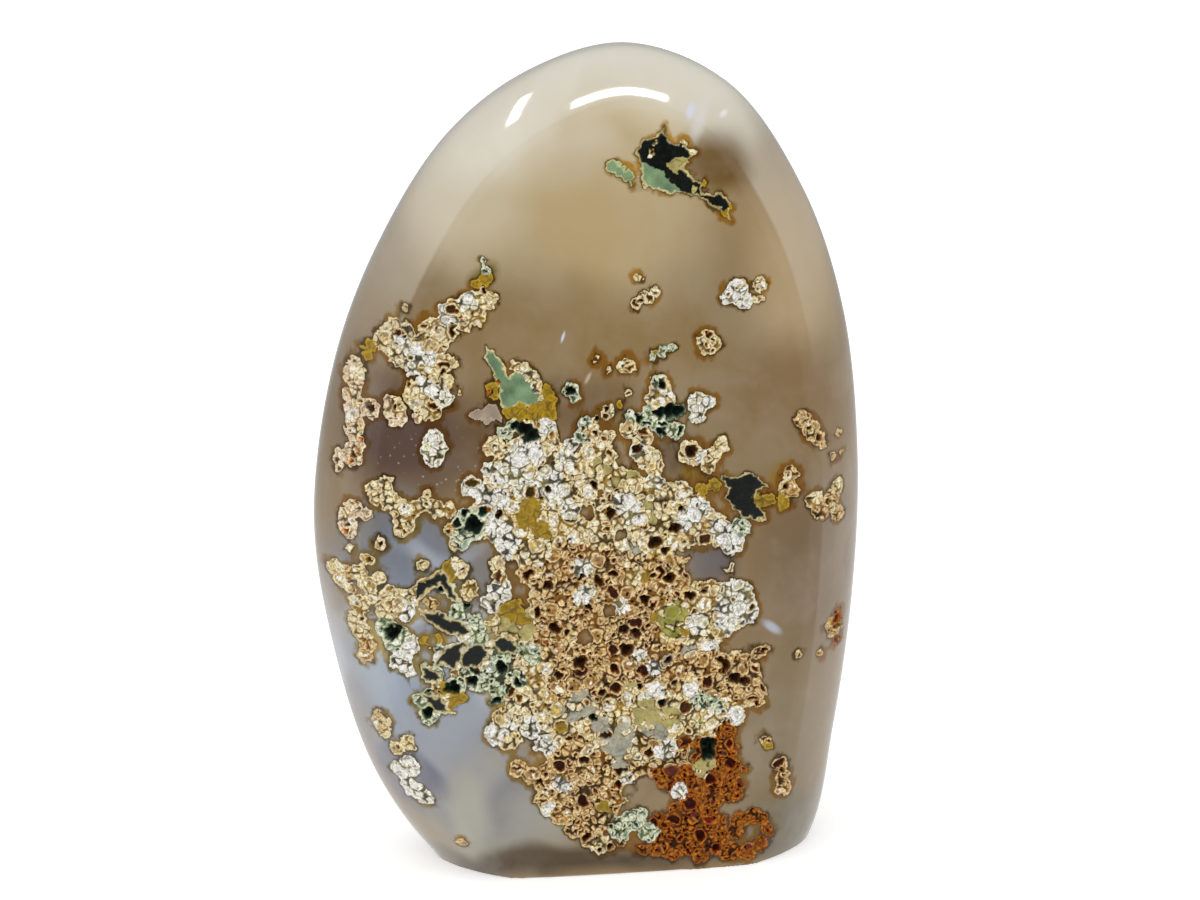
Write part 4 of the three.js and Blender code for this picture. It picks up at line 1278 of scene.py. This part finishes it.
class CrustPiece:
    """A druzy crust in a hollow: a thick sheet of fine relief, flush with the polish at its border."""

    thickness = 2.3
    snap_reach = 0.062
    margin = 0.2
    smooth_angle = math.radians(38)

    def __init__(self, name: str, chart: CrustField, index: int, low: float = -5, high: float = 105) -> None:
        """Pick a cluster of a chart.

        Args:
            name: The piece's name.
            chart: The face's chart.
            index: The cluster's number in the chart.
            low: The height in millimetres at which the piece starts.
            high: The height at which it ends.
        """
        self.name, self.chart, self.index, self.low, self.high = name, chart, index, low, high

    def build(self) -> bpy.types.Object:
        """Model the crust.

        Returns:
            The finished object.
        """
        chart = self.chart
        inside = (chart.owner == self.index) & (chart.mask > -self.margin)
        inside &= (chart.z >= self.low) & (chart.z <= self.high)
        rows, columns = np.flatnonzero(inside.any(axis=1)), np.flatnonzero(inside.any(axis=0))
        first = np.array([columns[0] - 1, rows[0] - 1])
        count = np.array([columns[-1], rows[-1]]) + 2 - first
        deselect_all()
        bpy.ops.mesh.primitive_grid_add(x_subdivisions=int(count[0]) - 1, y_subdivisions=int(count[1]) - 1,
                                        size=1)
        crust = bpy.context.active_object
        crust.name = crust.data.name = self.name
        mesh = crust.data
        share = coordinates(mesh)[:, :2] + 0.5
        flat = chart.low + (first + np.rint(share * (count - 1))) * chart.step
        self.set_flat(mesh, flat)
        self.drop_outside(mesh)
        places = coordinates(mesh)
        x, z = chart.snap(places[:, 0], places[:, 2], self.snap_reach)
        self.set_flat(mesh, np.stack([x, z], axis=1))
        self.close(mesh)
        self.lay_on_stone(mesh)
        bpy.ops.object.shade_smooth_by_angle(angle=self.smooth_angle)
        LOG.info("%s: %d faces", self.name, len(mesh.polygons))
        return crust

    @staticmethod
    def set_flat(mesh: bpy.types.Mesh, flat: np.ndarray) -> None:
        """Spread the sheet out flat in millimetres of the x, z plane."""
        place_vertices(mesh, np.insert(flat, 1, 0, axis=1))

    def drop_outside(self, mesh: bpy.types.Mesh) -> None:
        """Delete the faces that lie outside the crust.

        Args:
            mesh: The mesh.
        """
        chart = self.chart
        centres = face_centres(mesh)
        x, z = centres[:, 0], centres[:, 2]
        keep = (chart.sample(chart.mask, x, z) > 0) & (chart.owner_at(x, z) == self.index)
        keep &= (z > self.low) & (z < self.high)
        select_faces(mesh, ~keep)
        edit("FACE")
        bpy.ops.mesh.delete(type="FACE")
        leave_edit()

    def close(self, mesh: bpy.types.Mesh) -> None:
        """Give the sheet a skirt and a floor, still spread out flat.

        Args:
            mesh: The mesh.
        """
        edit("EDGE")
        select_boundary()
        bpy.ops.mesh.extrude_region_move(TRANSFORM_OT_translate={"value": (0, -self.chart.face, 0)})
        bpy.ops.mesh.fill(use_beauty=False)
        leave_edit()

    def lay_on_stone(self, mesh: bpy.types.Mesh) -> None:
        """Lay the sheet on the polished face, sink its relief and store its colours.

        Args:
            mesh: The mesh.
        """
        chart = self.chart
        places = coordinates(mesh)
        x, z = places[:, 0], places[:, 2]
        top = np.abs(places[:, 1]) < 0.5
        y, normal, _ = chart.shape.surface(x, z, chart.face)
        depth = np.where(top, chart.sample(chart.depth, x, z), self.thickness)
        place_vertices(mesh, (np.stack([x, y, z], axis=1) - normal * depth[:, None]) * MM)
        turn_outwards()
        tint = np.ones((len(x), 4))
        tint[:, :3] = chart.sample(chart.tint, x, z)
        mesh.attributes.new("tint", "FLOAT_COLOR", "POINT").data.foreach_set("color", tint.ravel())
        for name, values in (("polish", chart.polish), ("druse", chart.ground)):
            values = np.where(top, chart.sample(values, x, z), 0)
            mesh.attributes.new(name, "FLOAT", "POINT").data.foreach_set("value", values)


class NodeSheet:
    """A node tree with short calls to add and join nodes."""

    def __init__(self, tree: bpy.types.NodeTree) -> None:
        """Start on an empty tree."""
        self.tree = tree
        tree.nodes.clear()

    def add(self, kind: str, inputs: dict | None = None, **settings: object) -> bpy.types.Node:
        """Add a node.

        Args:
            kind: The node's type.
            inputs: Socket values, or sockets to link, by input name or number.
            settings: The node's own settings.

        Returns:
            The node.
        """
        node = self.tree.nodes.new(kind)
        for name, value in settings.items():
            setattr(node, name, value)
        for name, value in (inputs or {}).items():
            if isinstance(value, bpy.types.NodeSocket):
                self.tree.links.new(value, node.inputs[name])
            else:
                node.inputs[name].default_value = value
        return node

    def mix(self, share: object, under: object, over: object, blend: str = "MIX") -> bpy.types.NodeSocket:
        """Mix two colours and return the result's socket."""
        node = self.add("ShaderNodeMix", {0: share, 6: under, 7: over}, data_type="RGBA", blend_type=blend)
        return node.outputs[2]

    def ramp(self, value: object, low: float, high: float, start: float = 0,
             end: float = 1) -> bpy.types.NodeSocket:
        """Ease a value from one range to another and return the result's socket."""
        node = self.add("ShaderNodeMapRange", {0: value, 1: low, 2: high, 3: start, 4: end},
                        interpolation_type="SMOOTHSTEP")
        return node.outputs[0]

    def math(self, operation: str, first: object, second: object = 0.0) -> bpy.types.NodeSocket:
        """Do one sum and return the result's socket."""
        return self.add("ShaderNodeMath", {0: first, 1: second}, operation=operation).outputs[0]


def rgba(colour: str) -> tuple[float, float, float, float]:
    """Give a colour as seen as a linear socket value."""
    return (*(float(part) for part in linear(colour)), 1.0)


class Pattern(Enum):
    """What a zone of colour in the agate looks like."""

    PLAIN = "plain"
    BANDS = "bands"
    SPECKS = "specks"
    # Painted sheen: reflected light kept to the bevel band
    BEVEL = "bevel"
    VEIL = "veil"


@dataclass(frozen=True)
class ColourZone:
    """A soft patch of colour in the agate; some patches are painted light and shade.

    Attributes:
        at: Its middle in photo pixels.
        half: Half its width and height in millimetres.
        colour: Its colour as seen.
        strength: How much of it covers what lies below.
        pattern: What it looks like.
        turn: Its turn in degrees.
    """

    at: tuple[float, float]
    half: tuple[float, float]
    colour: str
    strength: float = 1.0
    pattern: Pattern = Pattern.PLAIN
    turn: float = 0


@dataclass(frozen=True)
class AgateFinish:
    """Polished translucent agate in soft zones.

    Attributes:
        base: Colour between the zones.
        cloud: Colour of the faint mottling.
        painted_edge_light: Colour of the painted light along the outline's thin edge.
        stain: Tint of the plain stain round a crust.
        golden_stain: Tint of the golden patches of that stain.
        crust_border_shade: Tint of the painted shade in a thin line along a crust.
        zones: The zones, from the lowest to the topmost; some of them are painted light and shade.
    """

    base: str = "8c7654"
    cloud: str = "c9c2b0"
    painted_edge_light: str = "c4bfb2"
    stain: str = "c4b48a"
    golden_stain: str = "e2b648"
    crust_border_shade: str = "a89260"
    zones: tuple[ColourZone, ...] = (
        # Painted light: the pale zones over the top lighten it where the light falls, laid over the agate's
        # own colour
        ColourZone((620, 80), (36, 13), "ece8d8", 0.95),
        ColourZone((590, 150), (24, 12), "d0c09a", 0.8),
        ColourZone((600, 215), (24, 15), "baa47a", 0.9),
        ColourZone((590, 340), (26, 11), "907850", 0.9),
        ColourZone((470, 190), (9, 14), "ccbea0", 0.85),
        ColourZone((480, 125), (12, 9), "e4dfcc", 0.9),
        ColourZone((740, 110), (8, 7), "cfcabc", 0.7),
        ColourZone((410, 445), (15, 10), "5a463e", 0.95),
        ColourZone((340, 350), (8, 14), "7e6c58", 0.8),
        ColourZone((560, 400), (14, 6), "705a40", 0.7),
        ColourZone((800, 260), (9, 16), "b89f78", 0.8),
        # Painted shade: these zones darken the right side and the lower right, laid over the agate's own
        # colour
        ColourZone((800, 400), (12, 14), "886f4e", 0.95),
        ColourZone((805, 570), (12, 15), "786146", 0.95),
        ColourZone((790, 740), (9, 17), "86765c", 0.9),
        ColourZone((800, 830), (10, 8), "6a624e", 0.9),
        ColourZone((410, 560), (14, 10), "6c7482", 0.95),
        ColourZone((420, 700), (15, 20), "949caa", 0.95),
        ColourZone((375, 670), (6, 10), "a0acba", 0.8),
        ColourZone((500, 820), (16, 10), "a8a89e", 0.9),
        ColourZone((430, 680), (20, 24), "c4ccda", 0.8, Pattern.BANDS),
        ColourZone((440, 780), (18, 16), "504e5e", 0.75, Pattern.BANDS),
        # Painted sheen of reflected light on the bevel band, above and below
        ColourZone((590, 180), (46, 34), "e4dccb", 0.42, Pattern.BEVEL),
        ColourZone((590, 620), (50, 34), "c4bcb0", 0.2, Pattern.BEVEL),
        ColourZone((620, 110), (30, 12), "f0ece0", 0.3, Pattern.BANDS),
        ColourZone((560, 868), (34, 2.6), "4c3c28", 0.9),
        ColourZone((850, 560), (3, 20), "c0b6a6", 0.8),
        ColourZone((700, 568), (4, 3), "504c56", 0.85),
        ColourZone((590, 515), (2.5, 2.5), "5c5860", 0.8),
        ColourZone((720, 165), (7, 6), "6a4c14", 0.95),
        ColourZone((500, 430), (5, 5), "5e4226", 0.6),
        ColourZone((670, 460), (6, 4), "503822", 0.7),
        ColourZone((476, 279), (2.2, 2.2), "6e5804", 0.9),
        ColourZone((536, 404), (3.4, 2.6), "6e5804", 0.9),
        ColourZone((532, 511), (3.0, 2.6), "6e5804", 0.8),
        ColourZone((700, 481), (3.2, 2.6), "7c6408", 0.9),
        ColourZone((777, 490), (2.0, 2.6), "8a6c06", 0.9),
        ColourZone((605, 417), (3.0, 2.0), "6e5804", 0.7),
        ColourZone((450, 465), (12, 6), "c8c4cc", 0.5, Pattern.SPECKS),
        ColourZone((772, 627), (1.9, 0.8), "b8c0cf", 0.8, Pattern.VEIL, 38),
        ColourZone((700, 118), (1.3, 4.6), "e4e2e2", 0.55, Pattern.VEIL, 24),
        ColourZone((691, 110), (0.8, 1.6), "dfe2f2", 0.9, Pattern.VEIL, 24),
        ColourZone((724, 113), (1.0, 0.6), "f8f6f4", 0.95, Pattern.VEIL, -30),
        ColourZone((563, 337), (0.25, 1.0), "d8dcec", 0.9, Pattern.VEIL, 20),
        ColourZone((588, 378), (0.35, 1.1), "c8b49c", 0.8, Pattern.VEIL, 30),
    )


class FinishShop:
    """Makes every material once, and shares the group of fine stone grain between them.

    Attributes:
        through_half: Half width in millimetres above which a zone goes through to the back.
        face_depth: How far in front of the stone's middle the other zones are centred.
        skin: How deep the other zones reach.
        drift: How far the zones wander, in metres.
        shade: Tint of the darker crystals.
        light: Colour of the brightest crystals.
        gap_shade: Tint of the painted shade in the gaps between crystals.
    """

    through_half = 8.5
    face_depth = 15.5
    skin = 11.0
    drift = 0.014
    shade = "ac9a76"
    light = "fff6dc"
    gap_shade = "7a6038"

    def __init__(self, view: PhotoView, shape: StoneShape) -> None:
        """Keep the view and the form, which place the agate's zones."""
        self.view, self.shape = view, shape
        self.grain_group = self.make_grain_group()

    def make_grain_group(self) -> bpy.types.NodeTree:
        """Build the group that gives mottling and a fine height at a chosen scale.

        Returns:
            The node group.
        """
        group = bpy.data.node_groups.new("stone_grain", "ShaderNodeTree")
        for name, kind in (("Vector", "NodeSocketVector"), ("Scale", "NodeSocketFloat"),
                           ("Detail", "NodeSocketFloat")):
            group.interface.new_socket(name, in_out="INPUT", socket_type=kind)
        for name in ("Mottle", "Height"):
            group.interface.new_socket(name, in_out="OUTPUT", socket_type="NodeSocketFloat")
        sheet = NodeSheet(group)
        start = sheet.add("NodeGroupInput")
        cloud = sheet.add("ShaderNodeTexNoise", {"Vector": start.outputs[0], "Scale": start.outputs[1],
                                                 "Detail": start.outputs[2], "Roughness": 0.6})
        cell = sheet.add("ShaderNodeTexVoronoi", {"Vector": start.outputs[0], "Scale": start.outputs[1]})
        height = sheet.math("ADD", cloud.outputs[0], cell.outputs[0])
        sheet.add("NodeGroupOutput", {0: cloud.outputs[0], 1: height})
        return group

    def grain(self, sheet: NodeSheet, place: bpy.types.NodeSocket, scale: float,
              detail: float) -> bpy.types.Node:
        """Place the grain group in a material."""
        return sheet.add("ShaderNodeGroup", {0: place, 1: scale, 2: detail}, node_tree=self.grain_group)

    def agate(self, finish: AgateFinish) -> bpy.types.Material:
        """Make the polished agate.

        Args:
            finish: Its colours and zones.

        Returns:
            The material.
        """
        material = bpy.data.materials.new("polished_agate_stone")
        material.use_nodes = True
        sheet = NodeSheet(material.node_tree)
        place = sheet.add("ShaderNodeTexCoord").outputs["Object"]
        drift = sheet.add("ShaderNodeTexNoise", {"Vector": place, "Scale": 38, "Detail": 3})
        offset = sheet.add("ShaderNodeVectorMath", {0: drift.outputs[1], 1: (0.5, 0.5, 0.5)},
                           operation="SUBTRACT")
        small = sheet.add("ShaderNodeVectorMath", {0: offset.outputs[0], "Scale": self.drift},
                          operation="SCALE")
        wavy = sheet.add("ShaderNodeVectorMath", {0: place, 1: small.outputs[0]}, operation="ADD").outputs[0]
        colour = rgba(finish.base)
        pixels = np.array([zone.at for zone in finish.zones], dtype=float)
        level = sheet.add("ShaderNodeTexNoise",
                          {"Vector": place, "Scale": 42, "Detail": 2, "Distortion": 0.5})
        bands = sheet.math("PINGPONG", sheet.math("MULTIPLY", level.outputs[0], 9), 1)
        dots = sheet.add("ShaderNodeTexVoronoi", {"Vector": place, "Scale": 1100})
        inset = sheet.add("ShaderNodeAttribute", attribute_name="inset").outputs[2]
        # The bevel pattern keeps a zone's painted sheen to the bevel band
        patterns = {Pattern.BEVEL: sheet.ramp(inset, 5.6, 6.1, 1, 0),
                    Pattern.BANDS: sheet.ramp(bands, 0.25, 0.9, 0, 1),
                    Pattern.SPECKS: sheet.ramp(dots.outputs[0], 0.04, 0.22, 1, 0)}
        for zone, (x, z) in zip(finish.zones, self.view.on_front(pixels, self.shape)):
            across, upward = zone.half
            start = place if zone.pattern is Pattern.VEIL else wavy
            depth = 1.0 if across > self.through_half else self.skin * MM
            middle = (x * MM, -self.face_depth * MM, z * MM)
            turn = (0, math.radians(zone.turn), 0)
            size = (across * MM, depth, upward * MM)
            mapping = sheet.add("ShaderNodeMapping", {0: start, 1: middle, 2: turn, 3: size},
                                vector_type="TEXTURE")
            ball = sheet.add("ShaderNodeTexGradient", {0: mapping.outputs[0]}, gradient_type="SPHERICAL")
            share = sheet.ramp(ball.outputs[1], 0, 0.75, 0, zone.strength)
            if zone.pattern in patterns:
                share = sheet.math("MULTIPLY", share, patterns[zone.pattern])
            colour = sheet.mix(share, colour, rgba(zone.colour))
        cloud = self.grain(sheet, wavy, 90, 4)
        colour = sheet.mix(sheet.ramp(cloud.outputs[0], 0.4, 0.7, 0, 0.14), colour, rgba(finish.cloud))
        # Painted light: the stone grows lighter towards its thin outline
        colour = sheet.mix(sheet.ramp(inset, 0, 5.0, 0.06, 0), colour, rgba(finish.painted_edge_light))
        near = sheet.add("ShaderNodeAttribute", attribute_name="from_crust").outputs[2]
        fine = self.grain(sheet, place, 420, 2)
        uneven = sheet.math("ADD", near, sheet.ramp(fine.outputs[0], 0.3, 0.7, -0.18, 0.18))
        glow = self.grain(sheet, place, 210, 1)
        golden = sheet.mix(sheet.ramp(glow.outputs[0], 0.46, 0.58, 0, 1), rgba(finish.stain),
                           rgba(finish.golden_stain))
        stained = sheet.mix(1.0, colour, golden, "MULTIPLY")
        spread = sheet.math("SUBTRACT", uneven, sheet.ramp(glow.outputs[0], 0.42, 0.62, 0, 0.4))
        colour = sheet.mix(sheet.ramp(spread, 0.0, 0.5, 0.95, 0), colour, stained)
        # Painted shade: a thin darker line in the stone along each crust's border
        crust_border_shade = sheet.mix(1.0, colour, rgba(finish.crust_border_shade), "MULTIPLY")
        colour = sheet.mix(sheet.ramp(uneven, 0.0, 0.26, 0.85, 0), colour, crust_border_shade)
        shader = sheet.add("ShaderNodeBsdfPrincipled", {
            "Base Color": colour, "Roughness": 0.08, "IOR": 1.54, "Subsurface Weight": 0.18,
            "Subsurface Radius": (1.0, 0.8, 0.6), "Subsurface Scale": 0.003, "Coat Weight": 0.1,
            "Coat Roughness": 0.03})
        sheet.add("ShaderNodeOutputMaterial", {0: shader.outputs[0]})
        return material

    def crust(self, slot: str, roughness: float, bump: float) -> bpy.types.Material:
        """Make a druzy crust's material.

        Args:
            slot: The record's slot, which names the material.
            roughness: Roughness of the unpolished crystals.
            bump: Strength of the finest relief.

        Returns:
            The material.
        """
        material = bpy.data.materials.new(f"{slot}_crystals")
        material.use_nodes = True
        sheet = NodeSheet(material.node_tree)
        place = sheet.add("ShaderNodeTexCoord").outputs["Object"]
        tint = sheet.add("ShaderNodeAttribute", attribute_name="tint").outputs[0]
        polish = sheet.add("ShaderNodeAttribute", attribute_name="polish").outputs[2]
        druse = sheet.add("ShaderNodeAttribute", attribute_name="druse").outputs[2]
        fine = self.grain(sheet, place, 3000, 2)
        points = sheet.add("ShaderNodeTexVoronoi", {"Vector": place, "Scale": 3800})
        lot = sheet.add("ShaderNodeSeparateColor", {0: points.outputs["Color"]}).outputs[0]
        gaps = sheet.add("ShaderNodeTexVoronoi", {"Vector": place, "Scale": 3000}, feature="DISTANCE_TO_EDGE")
        shaded = sheet.mix(1.0, tint, rgba(self.shade), "MULTIPLY")
        colour = sheet.mix(sheet.math("MULTIPLY", sheet.ramp(lot, 0.0, 0.6, 0.5, 0), druse), tint, shaded)
        bright = sheet.math("MULTIPLY", sheet.ramp(lot, 0.72, 0.86, 0, 0.75), druse)
        lit = sheet.mix(bright, colour, rgba(self.light), "SOFT_LIGHT")
        # Painted shade in the gaps between the crystals
        deep = sheet.mix(1.0, lit, rgba(self.gap_shade), "MULTIPLY")
        gap_shade_share = sheet.math("MULTIPLY", sheet.ramp(gaps.outputs[0], 0.0, 0.08, 0.35, 0), druse)
        colour = sheet.mix(gap_shade_share, lit, deep)
        colour = sheet.mix(sheet.ramp(fine.outputs[0], 0.3, 0.46, 0.3, 0), colour, shaded)
        grainy = sheet.math("MULTIPLY", fine.outputs[1], sheet.ramp(polish, 0, 0.7, 1, 0))
        relief = sheet.add("ShaderNodeBump", {"Height": grainy, "Strength": bump, "Distance": 0.0001})
        rough = sheet.ramp(polish, 0, 1, roughness, 0.12)
        shader = sheet.add("ShaderNodeBsdfPrincipled", {
            "Base Color": colour, "Roughness": rough, "IOR": 1.45, "Normal": relief.outputs[0],
            "Specular IOR Level": sheet.ramp(polish, 0, 0.6, 0.22, 0.5),
            "Subsurface Weight": 0.05, "Subsurface Radius": (1.0, 0.8, 0.6), "Subsurface Scale": 0.0006,
            "Coat Weight": sheet.math("MULTIPLY", polish, 0.4), "Coat Roughness": 0.04})
        sheet.add("ShaderNodeOutputMaterial", {0: shader.outputs[0]})
        return material


@dataclass(frozen=True)
class Studio:
    """A white room with lamps whose reflections are the bright patches on the upper bevel.

    Attributes:
        strip: The wide patch's left, right, top and bottom middles in photo pixels.
        spot: The same of the small patch.
        strip_radiance: Brightness of the wide patch, where the white room is about 1.
        spot_radiance: Brightness of the small patch.
        lamp_distance: Distance of both lamps in millimetres.
        least_size: Least side of a lamp.
        key_size: Side of the soft key light.
        key_place: Where it hangs.
        key_radiance: Its brightness.
        floor_size: Side of the floor in metres.
        floor_glow: How much the floor lights itself.
    """

    strip: tuple[tuple[float, float], ...] = ((572, 102), (674, 98), (624, 91), (624, 97))
    spot: tuple[tuple[float, float], ...] = ((513, 112), (524, 106), (520, 98), (516, 119))
    strip_radiance: float = 26
    spot_radiance: float = 18
    lamp_distance: float = 620
    least_size: float = 20
    key_size: float = 900
    key_place: tuple[float, float, float] = (-250, -700, 1100)
    key_radiance: float = 0.75
    floor_size: float = 6
    floor_glow: float = 0.5

    def build(self, view: PhotoView, shape: StoneShape) -> None:
        """Add the floor, the world and the lamps.

        Args:
            view: The camera.
            shape: The stone's form, in which the lamps are mirrored.
        """
        scene = bpy.context.scene
        scene.view_settings.view_transform = "Standard"
        scene.view_settings.look = "None"
        self.add_floor()
        self.add_world()
        self.add_lamp("overhead_strip", self.strip, view, shape, self.strip_radiance)
        self.add_lamp("window_spot", self.spot, view, shape, self.spot_radiance)
        self.add_key(Vector(view.target))

    def add_floor(self) -> None:
        """Lay a wide white floor under the stone."""
        deselect_all()
        bpy.ops.mesh.primitive_plane_add(size=self.floor_size)
        floor = bpy.context.active_object
        floor.name = "white_floor"
        floor.visible_glossy = False
        material = bpy.data.materials.new("white_floor")
        material.use_nodes = True
        shader = material.node_tree.nodes["Principled BSDF"]
        shader.inputs["Base Color"].default_value = (0.93, 0.93, 0.93, 1)
        shader.inputs["Roughness"].default_value = 0.6
        shader.inputs["Emission Color"].default_value = (1, 1, 1, 1)
        shader.inputs["Emission Strength"].default_value = self.floor_glow
        floor.data.materials.append(material)

    def add_world(self) -> None:
        """Light the room evenly, with a pure white backdrop for the camera."""
        world = bpy.data.worlds.new("white_room")
        world.use_nodes = True
        sheet = NodeSheet(world.node_tree)
        path = sheet.add("ShaderNodeLightPath")
        room = sheet.add("ShaderNodeBackground", {0: (1, 1, 1, 1), 1: 0.7})
        sight = sheet.add("ShaderNodeTexCoord").outputs["Generated"]
        heading = sheet.add("ShaderNodeSeparateXYZ", {0: sight})
        sideways = sheet.ramp(heading.outputs[1], -0.82, -0.6, 0.06, 0.4)
        overhead = sheet.ramp(heading.outputs[2], 0.2, 0.9, 0, 0.7)
        underfoot = sheet.ramp(heading.outputs[2], -0.3, -0.02, 0.4, 0)
        level = sheet.math("ADD", sheet.math("ADD", sideways, overhead), underfoot)
        mirrored = sheet.add("ShaderNodeBackground", {0: (1, 1, 1, 1), 1: level})
        backdrop = sheet.add("ShaderNodeBackground", {0: (1, 1, 1, 1), 1: 1.1})
        bounced = sheet.add("ShaderNodeMixShader", {0: path.outputs["Is Glossy Ray"], 1: room.outputs[0],
                                                    2: mirrored.outputs[0]})
        either = sheet.add("ShaderNodeMixShader", {0: path.outputs["Is Camera Ray"], 1: bounced.outputs[0],
                                                   2: backdrop.outputs[0]})
        sheet.add("ShaderNodeOutputWorld", {0: either.outputs[0]})
        bpy.context.scene.world = world

    def add_lamp(self, name: str, pixels: tuple[tuple[float, float], ...], view: PhotoView, shape: StoneShape,
                 radiance: float) -> None:
        """Add a flat lamp whose reflection covers a patch of the photograph.

        Args:
            name: The lamp's name.
            pixels: The patch's left, right, top and bottom middles.
            view: The camera.
            shape: The stone's form.
            radiance: The lamp's brightness, where the white room is about 1.
        """
        flat = view.on_front(np.array(pixels, dtype=float), shape)
        y, normal, _ = shape.surface(flat[:, 0], flat[:, 1], FRONT)
        places = np.stack([flat[:, 0], y, flat[:, 1]], axis=1)
        ends = []
        for place, up in zip(places, normal):
            sight = np.array(view.eye) - place
            sight /= np.linalg.norm(sight)
            mirrored = 2 * up.dot(sight) * up - sight
            ends.append(Vector(place + mirrored * self.lamp_distance))
        left, right, top, bottom = ends
        middle = (left + right + top + bottom) / 4
        across = right - left
        aim = Vector(places.mean(axis=0)) - middle
        back = -aim.normalized()
        side = (across - back * across.dot(back)).normalized()
        data = bpy.data.lights.new(name, "AREA")
        data.shape = "RECTANGLE"
        data.size = across.length * MM
        data.size_y = max((top - bottom).length, self.least_size) * MM
        data.energy = radiance * math.pi * data.size * data.size_y
        lamp = bpy.data.objects.new(name, data)
        bpy.context.scene.collection.objects.link(lamp)
        turn = Matrix((side, back.cross(side), back)).transposed().to_4x4()
        lamp.matrix_world = Matrix.Translation(middle * MM) @ turn
        lamp.visible_diffuse = False
        lamp.visible_transmission = False
        LOG.info("%s: %.0f by %.0f mm", name, data.size / MM, data.size_y / MM)

    def add_key(self, target: Vector) -> None:
        """Add the soft key light, which the polish doesn't mirror.

        Args:
            target: Where it aims, in millimetres.
        """
        data = bpy.data.lights.new("soft_key", "AREA")
        data.size = self.key_size * MM
        data.energy = self.key_radiance * math.pi * data.size ** 2
        lamp = bpy.data.objects.new("soft_key", data)
        bpy.context.scene.collection.objects.link(lamp)
        place = Vector(self.key_place)
        turn = (place - target).to_track_quat("Z", "Y").to_matrix().to_4x4()
        lamp.matrix_world = Matrix.Translation(place * MM) @ turn
        lamp.visible_glossy = False


class Specimen:
    """The whole stone: its agate body and every crust, dressed and tied to the frame.

    Attributes:
        main_parts: The main crust's pieces, with the heights in millimetres where each starts and ends.
        crust_roughness: Roughness of the rough crystals by material slot.
        crust_bump: Strength of the crusts' finest relief.
        seeds: Seeds of the noise on the front and the back.
    """

    main_parts = (("foot", -5.0, 21.0), ("middle", 21.0, 38.0), ("upper", 38.0, 105.0))
    crust_roughness = {"tan_druzy": 0.62, "cream_druzy": 0.5, "green_druzy": 0.4, "dark_druzy": 0.3,
                       "rust_druzy": 0.6}
    crust_bump = 0.5
    seeds = (11, 12)

    def __init__(self, view: PhotoView, shape: StoneShape) -> None:
        """Chart both faces."""
        self.view, self.shape = view, shape
        clusters = tuple(self.on_stone(cluster) for cluster in FRONT_CLUSTERS)
        self.front = CrustField(shape, FRONT, clusters, self.seeds[0])
        self.back = CrustField(shape, BACK, BACK_CLUSTERS, self.seeds[1])
        self.shop = FinishShop(view, shape)
        self.crust_materials = {slot: self.shop.crust(slot, rough, self.crust_bump)
                                for slot, rough in self.crust_roughness.items()}

    def on_stone(self, cluster: Cluster) -> Cluster:
        """Turn a cluster's photo pixels into millimetres on the stone.

        Args:
            cluster: The cluster in pixels.

        Returns:
            The cluster in millimetres.
        """
        def moved(points: tuple) -> tuple:
            """Turn the pixel that each row starts with into x and z."""
            if not points:
                return ()
            rows = np.array(points, dtype=float)
            return tuple(map(tuple, np.hstack([self.view.on_front(rows[:, :2], self.shape), rows[:, 2:]])))
        spots = {grain: moved(places) for grain, places in cluster.spots.items()}
        inlays = tuple(Inlay(inlay.grain, moved(inlay.corners)) for inlay in cluster.inlays)
        shards = tuple(moved(corners) for corners in cluster.shards)
        windows = moved(cluster.windows)
        return Cluster(cluster.name, cluster.nodes, cluster.slot, spots, inlays, windows, shards)

    def build(self) -> None:
        """Build, dress and tie every piece."""
        stone = AgateStone(self.shape, (self.front, self.back)).build()
        self.tie(stone, self.shop.agate(AgateFinish()), ("agate_stone",), "polished_agate")
        for chart in (self.front, self.back):
            for index, cluster in enumerate(chart.clusters):
                for piece in self.pieces_of(chart, index, cluster):
                    self.tie(piece.build(), self.crust_materials[cluster.slot], cluster.nodes, cluster.slot)

    def pieces_of(self, chart: CrustField, index: int, cluster: Cluster) -> list[CrustPiece]:
        """Make one piece of a cluster, or three of the main one, which is too large for one mesh.

        Args:
            chart: The face's chart.
            index: The cluster's number in it.
            cluster: The cluster.

        Returns:
            The pieces, not built yet.
        """
        if cluster.name != MAIN.name:
            return [CrustPiece(cluster.name, chart, index)]
        nudge = chart.step / 4
        return [CrustPiece(f"{cluster.name}_{part}", chart, index, low + nudge, high + nudge)
                for part, low, high in self.main_parts]

    @staticmethod
    def tie(piece: bpy.types.Object, material: bpy.types.Material, nodes: tuple[str, ...], slot: str) -> None:
        """Give a piece its material and its body, and hide the solids that it stands for.

        Args:
            piece: The piece.
            material: Its material.
            nodes: The solids that it replaces.
            slot: The record's slot; not used.
        """
        piece.data.materials.append(material)
        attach(piece, BODY)
        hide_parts(*nodes)
        LOG.info("%s: %d faces, on %s", piece.name, len(piece.data.polygons), BODY)


def main() -> None:
    """Build the scene: camera, stone and studio."""
    logging.basicConfig(level=logging.INFO, format="%(name)s: %(message)s")
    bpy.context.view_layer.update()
    view, shape = PhotoView(), StoneShape()
    view.place_camera()
    Specimen(view, shape).build()
    Studio().build(view, shape)


if __name__ == "__main__":
    main()
